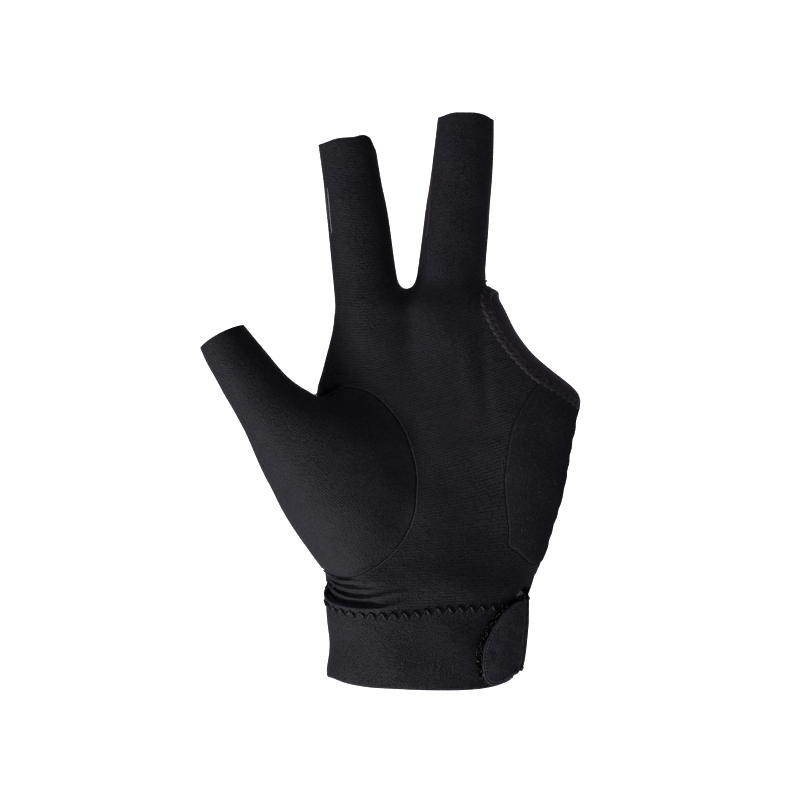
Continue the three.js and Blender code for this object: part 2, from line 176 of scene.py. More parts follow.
PAD_SEAM = [
    (46.0, 41.5), (41.0, 41.2), (38.0, 39.9), (35.6, 40.4), (33.8, 42.0), (31.4, 44.2),
    (28.4, 46.2), (28.4, 50.9), (28.0, 55.7), (27.3, 62.2), (27.0, 70.2), (27.8, 77.2),
    (28.5, 82.6), (29.6, 87.4), (32.4, 93.8), (35.7, 99.2), (39.5, 104.5), (44.0, 110.0),
]
PAD_CLOSE = [(120.0, 110.0), (120.0, 40.0)]
RIM_FRONT = [
    (60.0, 89.0), (53.2, 96.4), (49.0, 100.3), (45.5, 102.9), (41.7, 105.3), (37.8, 108.3),
    (32.0, 114.5), (27.4, 120.3), (24.3, 125.7), (22.5, 130.2), (21.7, 132.8), (22.2, 134.6),
    (26.0, 136.4), (34.0, 141.0),
]
RIM_BACK = [
    (60.0, 89.6), (54.0, 97.0), (51.7, 100.5), (47.7, 104.1), (41.9, 108.6), (36.1, 113.8),
    (30.4, 121.4), (26.5, 129.4), (24.6, 133.4), (24.6, 135.2), (27.5, 137.4), (34.0, 141.0),
]
RIM_CLOSE = [(34.0, 170.0), (120.0, 170.0), (120.0, 89.0)]
CUFF_TOP = np.array([
    [-60.0, 28.5], [-36.0, 26.8], [-32.9, 24.4], [-27.7, 23.0], [-20.7, 22.1], [-13.3, 21.9],
    [-6.0, 22.2], [2.1, 23.6], [11.2, 24.1], [22.0, 24.7], [30.0, 25.4], [60.0, 27.0],
])
HEM = np.array([
    [-60.0, -1.0], [-36.0, 0.4], [-33.6, -0.3], [-29.9, -1.8], [-22.4, -3.4], [-11.2, -4.2],
    [3.7, -4.7], [14.0, -4.5], [20.0, -3.9], [25.0, -2.7], [29.0, -0.9], [31.5, 1.2], [60.0, 3.0],
])
SLIT_EDGE = [(39.6, 38.4), (29.0, 26.8), (24.0, 21.0), (24.0, -40.0), (90.0, -40.0), (90.0, 38.4)]
INDEX_TIP = np.array([
    [-45.0, 184.8], [-37.5, 187.0], [-32.2, 188.9], [-26.3, 189.5], [-21.4, 189.9],
    [-20.0, 188.9], [-18.6, 185.6], [-10.0, 184.0],
])
MIDDLE_TIP = np.array([
    [-4.0, 194.6], [4.0, 196.4], [8.3, 197.9], [13.3, 198.1], [17.4, 197.9], [21.1, 196.6],
    [22.6, 195.6], [30.0, 194.0],
])
THUMB_TIP = 139.4

# Curves and maps.


def smoothstep(value, low, high):
    t = np.clip((value - low) / (high - low), 0, 1)
    return t * t * (3 - 2 * t)


def hill(value, centre, width):
    return np.exp(-(((value - centre) / width) ** 2))


def ripple(value, pitch):
    """A wave from 0 to 1, highest where value is 0."""
    return 0.5 + 0.5 * np.cos(2 * math.pi * value / pitch)


def lengths_along(points):
    """The distance along a line up to each of its points."""
    return np.r_[0, np.cumsum(np.linalg.norm(np.diff(points, axis=0), axis=1))]


def blurred(values, sigma, step):
    """Values at an even step, smoothed, with their ends carried on straight."""
    reach = int(4 * sigma / step)
    kernel = np.exp(-0.5 * (np.arange(-reach, reach + 1) * step / sigma) ** 2)
    head = 2 * values[0] - values[reach:0:-1]
    tail = 2 * values[-1] - values[-2:-reach - 2:-1]
    return np.convolve(np.concatenate([head, values, tail]), kernel / kernel.sum(), "valid")


def hermite(keys, values, at):
    slopes = np.gradient(values, keys)
    i = np.clip(np.searchsorted(keys, at, side="right") - 1, 0, len(keys) - 2)
    span = keys[i + 1] - keys[i]
    t = (at - keys[i]) / span
    a = (1 + 2 * t) * (1 - t) ** 2 * values[i] + t * t * (3 - 2 * t) * values[i + 1]
    return a + span * (t * (1 - t) ** 2 * slopes[i] - t * t * (1 - t) * slopes[i + 1])


class Table:
    """The columns of a table as smooth functions of its first column."""

    STEP = 0.25

    def __init__(self, rows, blur=1.6):
        keys = rows[:, 0]
        self.at = np.arange(keys[0], keys[-1] + self.STEP, self.STEP)
        self.columns = [
            blurred(hermite(keys, rows[:, k], np.minimum(self.at, keys[-1])), blur, self.STEP)
            for k in range(1, rows.shape[1])
        ]

    def __call__(self, key):
        return [np.interp(key, self.at, column) for column in self.columns]


def smooth_line(points, spacing=0.5):
    """A Catmull-Rom line through points, evenly spaced."""
    p = np.array(points, float)
    chord = lengths_along(p)
    at = np.linspace(0, chord[-1], int(chord[-1] / spacing) + 2)
    return np.stack([hermite(chord, p[:, k], at) for k in range(p.shape[1])], 1)


class Map:
    """A function of the seen plane, sampled on a fine grid."""

    STEP = 0.25
    LOW = np.array([-95.0, -12.0])
    SHAPE = (640, 880)

    def __init__(self):
        self.grid = np.zeros(self.SHAPE)
        x = self.LOW[0] + self.STEP * np.arange(self.SHAPE[0])
        z = self.LOW[1] + self.STEP * np.arange(self.SHAPE[1])
        self.x, self.z = np.meshgrid(x, z, indexing="ij")

    def __call__(self, x, z):
        u = np.clip((x - self.LOW[0]) / self.STEP, 0, self.SHAPE[0] - 1.001)
        v = np.clip((z - self.LOW[1]) / self.STEP, 0, self.SHAPE[1] - 1.001)
        i, j = u.astype(int), v.astype(int)
        u, v = u - i, v - j
        g = self.grid
        return (
            (g[i, j] * (1 - u) + g[i + 1, j] * u) * (1 - v)
            + (g[i, j + 1] * (1 - u) + g[i + 1, j + 1] * u) * v
        )


REACH = 12.0  # beyond this, a map's distance to its line stays the same


def near_cells(low, high, margin):
    i0, j0 = np.maximum(((low - margin - Map.LOW) / Map.STEP).astype(int), 0)
    i1, j1 = ((high + margin - Map.LOW) / Map.STEP).astype(int) + 2
    return slice(i0, max(i1, i0)), slice(j0, max(j1, j0))


def line_distance(x, z, line):
    """The distance to a line, and how far along it the nearest point lies, from 0 to 1."""
    best = np.full(x.shape, 1e9)
    along = np.zeros(x.shape)
    lengths = np.linalg.norm(np.diff(line, axis=0), axis=1)
    start = np.r_[0, np.cumsum(lengths)]
    for k, (a, b) in enumerate(zip(line[:-1], line[1:])):
        d = b - a
        t = np.clip(((x - a[0]) * d[0] + (z - a[1]) * d[1]) / (d @ d), 0, 1)
        distance = np.hypot(x - a[0] - t * d[0], z - a[1] - t * d[1])
        near = distance < best
        best = np.where(near, distance, best)
        along = np.where(near, (start[k] + t * lengths[k]) / start[-1], along)
    return best, along


def region_map(line, corners):
    """Signed distance to a seam: positive inside the outline of the seam and its closing corners."""
    made = Map()
    seam = smooth_line(line, 1.2)
    outline = np.vstack([seam, corners])
    distance = np.full(made.SHAPE, REACH)
    for a, b in zip(seam[:-1], seam[1:]):
        cells = near_cells(np.minimum(a, b), np.maximum(a, b), REACH)
        found, _ = line_distance(made.x[cells], made.z[cells], np.array([a, b]))
        distance[cells] = np.minimum(distance[cells], found)
    inside = np.zeros(made.SHAPE, bool)
    for a, b in zip(outline, np.roll(outline, -1, axis=0)):
        if a[1] == b[1]:
            continue
        crosses = (made.z < a[1]) != (made.z < b[1])
        at = a[0] + (made.z - a[1]) * (b[0] - a[0]) / (b[1] - a[1])
        inside ^= crosses & (made.x < at)
    made.grid = np.where(inside, distance, -distance)
    return made


relief = Map()  # small folds, which run on round the side of the hand
forms = Map()  # broad hollows and pads of the palm


def ridge(points, height, width, head=0.15, tail=0.15, narrow=1.0):
    """Adds a ridge, or a valley where height is negative, along a line to the relief.

    Its width starts at the share `narrow` of the full width and has grown to it a third of the way on.
    """
    line = smooth_line(points, 1.0)
    cells = near_cells(line.min(0), line.max(0), 4 * width)
    distance, along = line_distance(relief.x[cells], relief.z[cells], line)
    ends = smoothstep(along, 0, head) if head else 1.0
    if tail:
        ends = ends * (1 - smoothstep(along, 1 - tail, 1))
    spread = width * (narrow + (1 - narrow) * smoothstep(along, 0, 0.33))
    relief.grid[cells] += height * ends * hill(distance, 0, spread)


def bump(centre, radii, height, turn=0.0):
    """Adds a swelling, or a hollow where height is negative, to the forms."""
    c, s = math.cos(math.radians(turn)), math.sin(math.radians(turn))
    dx, dz = forms.x - centre[0], forms.z - centre[1]
    u, v = (dx * c + dz * s) / radii[0], (dz * c - dx * s) / radii[1]
    forms.grid += height * np.exp(-(u * u + v * v))


# The hollow of the palm, the pads under the fingers and the heel of the hand.
bump((19, 64), (15, 27), -1.6, 8)
bump((40, 66), (13, 24), 0.5)
bump((-20, 120), (11, 9), 1.2)
bump((6, 121), (11, 9), 1.2)
bump((-7, 124), (3.5, 13), -1.0)
bump((20, 106), (2.2, 15), -0.55, 4)
bump((14, 108), (2.6, 12), 0.4, 4)
bump((4, 34), (18, 9), 1.0)
waves = np.random.default_rng(7)
for _ in range(26):
    way = waves.uniform(0, 2 * math.pi)
    length = waves.uniform(11, 26)
    shift = waves.uniform(0, 2 * math.pi)
    along = forms.x * math.cos(way) + forms.z * math.sin(way)
    forms.grid += 0.0018 * length * np.cos(2 * math.pi * along / length + shift)

# Folds between the ball of the thumb and the cuff. They fan out from a pinch at the edge of the hand.
PINCH = (-35.9, 34.9)
ridge([PINCH, (-35.1, 35.0), (-32.5, 34.3), (-28.0, 33.9), (-24.5, 34.2)], 0.55, 0.55, 0.05, 0.4, 0.5)
ridge([PINCH, (-34.8, 34.4), (-32.1, 32.4), (-28.7, 31.3), (-22.4, 30.8), (-16.8, 30.9)],
      0.7, 0.6, 0.05, 0.45, 0.4)
ridge([PINCH, (-34.9, 33.6), (-32.5, 30.2), (-29.1, 28.5), (-22.4, 27.6), (-18.7, 28.2),
       (-11.2, 29.8), (-4.0, 30.6)], 0.9, 0.75, 0.05, 0.5, 0.4)
ridge([(-36.3, 33.4), (-36.5, 31.0), (-35.6, 27.8), (-33.6, 26.2), (-31.0, 25.3), (-26.1, 24.3),
       (-20.5, 24.0), (-14.9, 24.6), (-11.2, 25.9), (-7.0, 27.8)], 1.25, 0.95, 0.12, 0.35, 0.7)
ridge([(-36.4, 38.4), (-32.5, 35.9), (-28.0, 34.9), (-24.3, 35.8)], -0.6, 0.45, 0, 0.35)
ridge([PINCH, (-34.9, 35.0), (-32.1, 33.5), (-28.0, 32.8), (-21.5, 32.6)], -0.5, 0.38, 0.05, 0.4, 0.5)
ridge([PINCH, (-34.6, 34.1), (-32.4, 31.3), (-29.3, 29.9), (-22.4, 29.2), (-18.0, 29.5)],
      -0.7, 0.45, 0.05, 0.4, 0.4)
ridge([(-35.7, 34.2), (-35.2, 32.6), (-34.4, 30.4), (-33.0, 28.8), (-29.9, 27.3), (-24.3, 26.5),
       (-18.7, 25.9), (-14.0, 25.9)], -1.5, 0.62, 0.04, 0.35, 0.45)

# A crease in the thumb's cloth under the web.
ridge([(-40.6, 97.3), (-39.0, 96.3), (-37.3, 95.0)], 0.4, 0.35, 0.3, 0.3)

thumb_front = region_map(THUMB_SEAM_FRONT, THUMB_CLOSE)
thumb_back = region_map(THUMB_SEAM_BACK, THUMB_CLOSE)
pad_map = region_map(PAD_SEAM, PAD_CLOSE)
rim_front = region_map(RIM_FRONT, RIM_CLOSE)
rim_back = region_map(RIM_BACK, RIM_CLOSE)
slit_map = region_map(SLIT_EDGE[:3], SLIT_EDGE[3:])

hand_at, index_at, middle_at = Table(HAND), Table(INDEX), Table(MIDDLE)
thumb_at = Table(THUMB, 2.0)
cuff_top_at, hem_at = Table(CUFF_TOP, 1.0), Table(HEM, 1.0)
index_tip_at, middle_tip_at = Table(INDEX_TIP, 0.3), Table(MIDDLE_TIP, 0.5)

# The glove's surface as a field.


def seen(p, mirrored=False):
    depth = -np.abs(p[:, 1]) if mirrored else p[:, 1]
    k = -EYE[1] / (depth - EYE[1])
    return EYE[0] + (p[:, 0] - EYE[0]) * k, EYE[2] + (p[:, 2] - EYE[2]) * k


def tube(across, y, left, right, front, back, power):
    half = (right - left) / 2
    depth = np.where(y < 0, front, back)
    a = np.abs(across - (left + right) / 2) / half
    b = np.abs(y) / depth
    f = np.maximum((a**power + b**power) ** (1 / power), 1e-6)
    slope = np.hypot(a ** (power - 1) / half, b ** (power - 1) / depth) * f ** (1 - power)
    return (f - 1) / np.maximum(slope, 1e-6)


def smooth_min(a, b, k):
    h = np.maximum(k - np.abs(a - b), 0) / k
    return np.minimum(a, b) - h * h * k / 4


def body(p):
    """Roughly the distance outside the glove's outer surface."""
    x, y, z = p[:, 0], p[:, 1], p[:, 2]
    hand = tube(x, y, *hand_at(z), SQUARENESS["hand"])
    top = z - 135.0
    hand = -smooth_min(-hand, -top, 9.0)
    index = tube(x, y, *index_at(z), SQUARENESS["finger"])
    index = np.maximum(index, 112 - z)
    middle = tube(x, y, *middle_at(z), SQUARENESS["finger"])
    middle = np.maximum(middle, 112 - z)
    inner = smoothstep(x, -33, -22)
    whole = smooth_min(hand, index, 0.6 + 5.0 * inner)
    whole = smooth_min(whole, middle, 5.5)
    s = x * THUMB_ALONG[0] + z * THUMB_ALONG[1]
    u = x * THUMB_ACROSS[0] + z * THUMB_ACROSS[1]
    left, right, depth, front, back = thumb_at(s)
    near = (depth - EYE[1]) / -EYE[1]
    us = EYE[0] * THUMB_ACROSS[0] + EYE[2] * THUMB_ACROSS[1]
    left, right = us + (left - us) * near, us + (right - us) * near
    thumb = tube(u, y - depth, left, right, front, back, SQUARENESS["thumb"])
    thumb = np.maximum(thumb, 46 - s)
    return smooth_min(whole, thumb, 0.8 + 8.0 * smoothstep(x, -37, -22))


def front_share(p):
    return smoothstep(-p[:, 1], -3, 4)


def cloth_field(p):
    at = seen(p)
    return body(p) - relief(*at) * front_share(p) - forms(*at) * smoothstep(-p[:, 1], 1, 9)


# Where each panel ends.


# Where the side seam rolls forward on a sleeve: height, spread, depth, and the x between which it does.
SEAM_ROLLS = [(165, 11, 5.0, -FAR, -24), (166, 16, 4.2, -8, 12), (163, 12, 4.6, 12, FAR)]


def seam_depth(p):
    """Depth of the seam down the sides."""
    x, z = p[:, 0], p[:, 2]
    depth = np.where(x < 20, 1.0, 0.4)
    for height, spread, roll, low, high in SEAM_ROLLS:
        depth = depth - roll * hill(z, height, spread) * (x > low) * (x < high)
    return depth


def side(p):
    return seam_depth(p) - p[:, 1]


def two_sided(front_map, back_map, p, centre=0.0):
    x, z = seen(p)
    share = smoothstep(p[:, 1], centre - 3, centre + 3)
    return front_map(x, z) * (1 - share) + back_map(x, z) * share


def thumb_region(p):
    return two_sided(thumb_front, thumb_back, p, -6.0)


def pad_region(p):
    return pad_map(*seen(p))


def rim_region(p):
    """Positive on the cloth, negative in the opening for the other two fingers."""
    return -two_sided(rim_front, rim_back, p)


def above_cuff(p):
    x, z = seen(p, True)
    return z - cuff_top_at(x)[0]


def above_hem(p):
    x, z = seen(p, True)
    return z - hem_at(x)[0]


def below_tips(p):
    x, z = seen(p, True)
    index, middle = index_tip_at(x)[0] - z, middle_tip_at(x)[0] - z
    s = p[:, 0] * THUMB_ALONG[0] + p[:, 2] * THUMB_ALONG[1]
    u = p[:, 0] * THUMB_ACROSS[0] + p[:, 2] * THUMB_ACROSS[1]
    thumb = THUMB_TIP - 0.012 * (u + 3) ** 2 - s
    sleeves = np.where(p[:, 0] < -8, index, middle)
    return np.where((p[:, 0] < -44) & (p[:, 2] < 135), thumb, sleeves)


def beside_slit(p):
    """Positive on the palm cloth, negative in the V over the cuff's slit."""
    x, z = seen(p)
    return np.where(p[:, 1] < 3, -slit_map(x, z), 5.0)


# Meshes.


def gradient(field, p, h=0.12):
    g = np.empty_like(p)
    for k in range(3):
        step = np.zeros(3)
        step[k] = h
        g[:, k] = (field(p + step) - field(p - step)) / (2 * h)
    return g


def project(field, p, rounds=3):
    for _ in range(rounds):
        g = gradient(field, p)
        move = field(p)[:, None] * g / np.maximum((g * g).sum(1), 0.05)[:, None]
        length = np.linalg.norm(move, axis=1)[:, None]
        p = p - move * np.minimum(1, 1.5 / np.maximum(length, 1e-9))
    return p


def unit(v):
    return v / np.maximum(np.linalg.norm(v, axis=-1, keepdims=True), 1e-12)


def surface(field, low, high, step):
    """Surface nets: one vertex in each cell that the surface crosses."""
    axes = [np.arange(low[k], high[k] + step, step) for k in range(3)]
    shape = tuple(len(a) for a in axes)
    value = np.empty(shape)
    yy, zz = np.meshgrid(axes[1], axes[2], indexing="ij")
    for i in range(0, shape[0], 16):
        xs = axes[0][i:i + 16]
        p = np.empty((len(xs),) + yy.shape + (3,))
        p[..., 0] = xs[:, None, None]
        p[..., 1], p[..., 2] = yy, zz
        value[i:i + 16] = field(p.reshape(-1, 3)).reshape(p.shape[:3])
    inside = value < 0
    corners = [(i, j, k) for i in (0, 1) for j in (0, 1) for k in (0, 1)]
    cut = [slice(0, -1), slice(1, None)]
    total = sum(inside[cut[i], cut[j], cut[k]].astype(int) for i, j, k in corners)
    cells = np.argwhere((total > 0) & (total < 8))
    number = -np.ones(total.shape, int)
    number[tuple(cells.T)] = np.arange(len(cells))
    values = np.stack([value[tuple((cells + c).T)] for c in corners], 1)
    where = np.zeros((len(cells), 3))
    count = np.zeros(len(cells))
    for a in range(8):
        for b in range(a + 1, 8):
            ca, cb = np.array(corners[a], float), np.array(corners[b], float)
            if np.abs(ca - cb).sum() != 1:
                continue
            va, vb = values[:, a], values[:, b]
            crosses = (va < 0) != (vb < 0)
            t = np.where(crosses, va / np.where(crosses, va - vb, 1), 0)
            where += np.where(crosses[:, None], ca + t[:, None] * (cb - ca), 0)
            count += crosses
    points = np.array([a[0] for a in axes]) + step * (cells + where / count[:, None])
    tris = []
    for axis in range(3):
        b, c = (axis + 1) % 3, (axis + 2) % 3
        first = [slice(None)] * 3
        second = [slice(None)] * 3
        first[axis], second[axis] = slice(0, -1), slice(1, None)
        changes = np.argwhere(inside[tuple(first)] != inside[tuple(second)])
        changes = changes[(changes[:, b] > 0) & (changes[:, c] > 0)]
        changes = changes[(changes[:, b] < shape[b] - 1) & (changes[:, c] < shape[c] - 1)]
        quad = []
        for db, dc in ((-1, -1), (0, -1), (0, 0), (-1, 0)):
            cell = changes.copy()
            cell[:, b] += db
            cell[:, c] += dc
            quad.append(number[tuple(cell.T)])
        quad = np.stack(quad, 1)
        out = inside[tuple(changes.T)]
        quad[~out] = quad[~out][:, ::-1]
        diagonal = np.linalg.norm(points[quad[:, 0]] - points[quad[:, 2]], axis=1)
        other = np.linalg.norm(points[quad[:, 1]] - points[quad[:, 3]], axis=1)
        quad = np.where((diagonal <= other)[:, None], quad, np.roll(quad, 1, axis=1))
        tris += [quad[:, [0, 1, 2]], quad[:, [0, 2, 3]]]
    return points, np.vstack(tris)


def sides_of(tris):
    return np.vstack([tris[:, [0, 1]], tris[:, [1, 2]], tris[:, [2, 0]]])


def edges_of(tris):
    """Unique edges, and for each triangle the numbers of its three edges."""
    pairs = np.sort(sides_of(tris), axis=1)
    code = pairs[:, 0] * (tris.max() + 1) + pairs[:, 1]
    _, first, inverse = np.unique(code, return_index=True, return_inverse=True)
    return pairs[first], inverse.reshape(3, -1).T


def refine(points, tris, wanted, rounds):
    """Splits edges that are longer than wanted at their middle."""
    for _ in range(rounds):
        edges, of_tri = edges_of(tris)
        middle = points[edges].mean(1)
        length = np.linalg.norm(points[edges[:, 0]] - points[edges[:, 1]], axis=1)
        split = length > 1.4 * wanted(middle)
        if not split.any():
            break
        number = np.where(split, len(points) + np.cumsum(split) - 1, -1)
        points = np.vstack([points, middle[split]])
        mids = number[of_tri]
        marks = mids >= 0
        count = marks.sum(1)
        parts = [tris[count == 0]]
        for k in range(3):
            turn = [k, (k + 1) % 3, (k + 2) % 3]
            one = (count == 1) & marks[:, k]
            (a, b, c), m = tris[one][:, turn].T, mids[one][:, k]
            parts += [np.stack([a, m, c], 1), np.stack([m, b, c], 1)]
            two = (count == 2) & ~marks[:, turn[2]]
            (a, b, c), (m, n) = tris[two][:, turn].T, mids[two][:, turn[:2]].T
            parts += [np.stack([m, b, n], 1), np.stack([a, m, n], 1), np.stack([a, n, c], 1)]
        full = count == 3
        (a, b, c), (m, n, o) = tris[full].T, mids[full].T
        parts += [np.stack(t, 1) for t in ((a, m, o), (m, b, n), (o, n, c), (m, n, o))]
        tris = np.vstack(parts)
    return points, tris


def compact(points, tris):
    used, inverse = np.unique(tris, return_inverse=True)
    return points[used], inverse.reshape(-1, 3)


def clip(points, tris, function):
    """Keeps the part where function is positive."""
    value = function(points)
    value = np.where(np.abs(value) < 0.01, np.where(value < 0, -0.01, 0.01), value)
    inside = value > 0
    count = inside[tris].sum(1)
    edges, of_tri = edges_of(tris)
    crosses = inside[edges[:, 0]] != inside[edges[:, 1]]
    number = np.where(crosses, len(points) + np.cumsum(crosses) - 1, -1)
    a, b = edges[crosses].T
    t = value[a] / (value[a] - value[b])
    points = np.vstack([points, points[a] + t[:, None] * (points[b] - points[a])])
    mids = number[of_tri]
    parts = [tris[count == 3]]
    for k in range(3):
        turn = [k, (k + 1) % 3, (k + 2) % 3]
        one = (count == 1) & inside[tris[:, k]]
        first = tris[one][:, k]
        parts.append(np.stack([first, mids[one][:, turn[0]], mids[one][:, turn[2]]], 1))
        two = (count == 2) & ~inside[tris[:, turn[2]]]
        (p, q, _), (_, m, n) = tris[two][:, turn].T, mids[two][:, turn].T
        parts += [np.stack([p, q, m], 1), np.stack([p, m, n], 1)]
    return compact(points, np.vstack(parts))


def largest(points, tris):
    """The biggest connected part of a mesh."""
    label = np.arange(len(points))
    while True:
        low = label[tris].min(1)
        new = label.copy()
        for k in range(3):
            np.minimum.at(new, tris[:, k], low)
        new = new[new]
        if (new == label).all():
            break
        label = new
    of_tri = label[tris[:, 0]]
    names, counts = np.unique(of_tri, return_counts=True)
    return compact(points, tris[of_tri == names[counts.argmax()]])


def border_edges(tris):
    """The edges that only one triangle has, in its own direction."""
    number = edges_of(tris)[1].T.reshape(-1)
    return sides_of(tris)[np.bincount(number)[number] == 1]


def loops_of(tris):
    """The border of a mesh as lists of vertex numbers, in order."""
    after = {}
    for a, b in border_edges(tris):
        after.setdefault(int(a), []).append(int(b))
    loops = []
    while after:
        start = next(iter(after))
        loop = [start]
        while loop[-1] in after:
            nexts = after[loop[-1]]
            following = nexts.pop()
            if not nexts:
                del after[loop[-1]]
            if following == start:
                break
            loop.append(following)
        loops.append(loop)
    return sorted(loops, key=len, reverse=True)


def make_object(name, points, faces, nodes, loop_normals=None, attributes=None):
    mesh = bpy.data.meshes.new(name)
    mesh.from_pydata((np.asarray(points) * MM).tolist(), [], [list(map(int, f)) for f in faces])
    for key, values in (attributes or {}).items():
        layer = mesh.attributes.new(key, "FLOAT", "POINT")
        layer.data.foreach_set("value", np.asarray(values, np.float32))
    mesh.shade_smooth()
    if loop_normals is not None:
        mesh.normals_split_custom_set(loop_normals.tolist())
    made = bpy.data.objects.new(name, mesh)
    bpy.context.scene.collection.objects.link(made)
    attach(made, "root")
    if nodes:
        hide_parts(*nodes)
    return made


def shell(name, points, tris, field, thickness, slot, nodes, attributes=None):
    """A sheet of cloth with its outer face on the field's surface and a wall round its border."""
    points = project(field, points, 2)
    normals = unit(gradient(field, points))
    count = len(points)
    inner = points - normals * thickness
    border = border_edges(tris)
    a, b = border.T
    walls = np.stack([b, a, a + count, b + count], 1)
    out = unit(np.cross(points[b] - points[a], normals[a] + normals[b]))
    faces = [*tris, *(tris[:, ::-1] + count), *walls]
    loop_normals = np.vstack([
        normals[tris].reshape(-1, 3),
        -normals[tris[:, ::-1]].reshape(-1, 3),
        np.repeat(out, 4, axis=0),
    ])
    layers = {k: np.tile(v(points), 2) for k, v in (attributes or {}).items()}
    return make_object(name, np.vstack([points, inner]), faces, nodes, loop_normals, layers)


def edge_round(distance, radius, depth):
    """How far a cloth's face sinks beside its own edge."""
    t = np.clip(1 - distance / radius, 0, 1)
    return depth * (1 - np.sqrt(1 - 0.98 * t * t))


# The panels.

LOW, HIGH = np.array([-86.0, -28.0, -6.0]), np.array([56.0, 25.0, 201.0])
base_points, base_tris = surface(cloth_field, LOW, HIGH, 1.1)
base_points = project(cloth_field, base_points, 3)


def fineness(p):
    """The wanted length of an edge: short beside the seams and in the folds."""
    near = np.minimum.reduce([
        np.abs(thumb_region(p)), np.abs(pad_region(p)) + 3 * (p[:, 1] > 2),
        np.abs(rim_region(p)), np.abs(above_cuff(p)), np.abs(above_hem(p)),
        np.abs(below_tips(p)), np.abs(side(p)),
    ])
    folded = (p[:, 0] < -5) & (p[:, 1] < 6) & (p[:, 2] < 41) & (p[:, 2] > 21)
    return np.where(near < 1.3, 0.42, np.where(folded, 0.4, 1.3))


base_points, base_tris = refine(base_points, base_tris, fineness, 2)
base_points = project(cloth_field, base_points, 2)
base_points, base_tris = clip(base_points, base_tris, below_tips)
base_points, base_tris = clip(base_points, base_tris, above_hem)
base_points, base_tris = largest(base_points, base_tris)


def cut(*functions):
    points, tris = base_points, base_tris
    for function in functions:
        points, tris = clip(points, tris, function)
    return largest(points, tris)


def minus(function):
    return lambda p: -function(p)


WEB = np.array([(-39.5, 99.0), (-36.0, 98.5), (-33.0, 99.4), (-31.6, 100.8)])


def pocket(p):
    """The cloth of the hand tucks in behind the thumb's panel beside the web."""
    x, z = seen(p)
    distance, _ = line_distance(x, z, WEB)
    return 1.7 * hill(distance, 0, 1.7) * front_share(p)


def zigzag_puff(p):
    """The cloth swells a little between the stitches of the zigzag."""
    return 0.16 * ripple(p[:, 0], 1.9) * hill(above_cuff(p), 0, 1.1) * front_share(p)


def palm_field(p):
    sink = edge_round(-thumb_region(p), 0.7, 0.55) + edge_round(-pad_region(p), 0.6, 0.35)
    sink = sink + edge_round(side(p), 0.5, 0.35) + edge_round(above_cuff(p), 0.4, 0.15)
    return cloth_field(p) + sink + pocket(p) - zigzag_puff(p)


def back_field(p):
    sink = edge_round(-thumb_region(p), 0.6, 0.4) + edge_round(-side(p), 0.5, 0.35)
    return cloth_field(p) + sink + edge_round(above_cuff(p), 0.6, 0.3)


def thumb_field(p):
    sink = edge_round(thumb_region(p), 0.7, 0.5) + edge_round(above_cuff(p), 0.6, 0.3)
    return cloth_field(p) - 0.15 + sink


def pucker(p):
    """The pad's outer seam is drawn in every six millimetres."""
    wave = 0.5 + 0.5 * np.cos(2 * math.pi * p[:, 2] / 6.0 + 0.8 * np.sin(p[:, 2] / 4.1))
    return 0.5 * wave**2 * hill(side(p), 1.0, 3.0)


def pad_field(p):
    sink = edge_round(pad_region(p), 0.9, 0.55) + edge_round(side(p), 0.8, 0.5)
    return cloth_field(p) - 0.45 + sink + pucker(p) * smoothstep(p[:, 0], 36, 40)


def cuff_field(p):
    sink = edge_round(-above_cuff(p), 0.45, 0.25) + edge_round(above_hem(p), 1.2, 0.9)
    return cloth_field(p) - 0.2 + sink - zigzag_puff(p)


SLANT_AT = np.linspace(-90, 60, 301)
SLANT = -0.17 + 0.50 * smoothstep(SLANT_AT, -30, -12)
SLANT_RISE = np.cumsum(SLANT) * (SLANT_AT[1] - SLANT_AT[0])
SLANT_RISE -= np.interp(0, SLANT_AT, SLANT_RISE)


def on_middle(p):
    """1 on the middle sleeve, where the knit slants most, and 0 elsewhere."""
    return smoothstep(p[:, 2], 120, 152) * smoothstep(p[:, 0], -9, -4)


def knit_course(p):
    """Height along the knit, in millimetres: nearly level at the wrist, and slanting higher up."""
    x, z = p[:, 0], p[:, 2]
    share = 0.12 + 0.88 * smoothstep(z, 42, 88)
    return z - share * np.interp(x, SLANT_AT, SLANT_RISE) - 0.27 * (x - 8) * on_middle(p)


def knit_wale(p):
    x, z = p[:, 0], p[:, 2]
    return x + 0.3 * (smoothstep(z, 42, 88) + on_middle(p)) * (z - 100)


def turned(up, across):
    """Distance across rows that are turned in the plane of x and z."""
    return lambda p: p[:, 2] * up + p[:, 0] * across


def back_wale(p):
    """Distance across the back, with what the turn to the side adds to it."""
    sideways = unit(gradient(cloth_field, p))[:, 0]
    return p[:, 0] + 7.0 * sideways * np.abs(sideways) ** 3


def palm_clear(p):
    """How clearly the courses show: most in the upper palm."""
    return 0.45 + 0.55 * hill(p[:, 2], 100, 30) * smoothstep(p[:, 0], -42, -22)


def knit(course, wale, clear=lambda p: np.full(len(p), 0.5)):
    return {"course": course, "wale": wale, "clear": clear}


CUFF_SLIT_Y, CUFF_SLIT_HALF = -6.5, 1.0


def off_cuff_slit(p):
    gap = np.abs(p[:, 1] - CUFF_SLIT_Y) - CUFF_SLIT_HALF
    return np.where(p[:, 0] > 0, gap, 5.0)


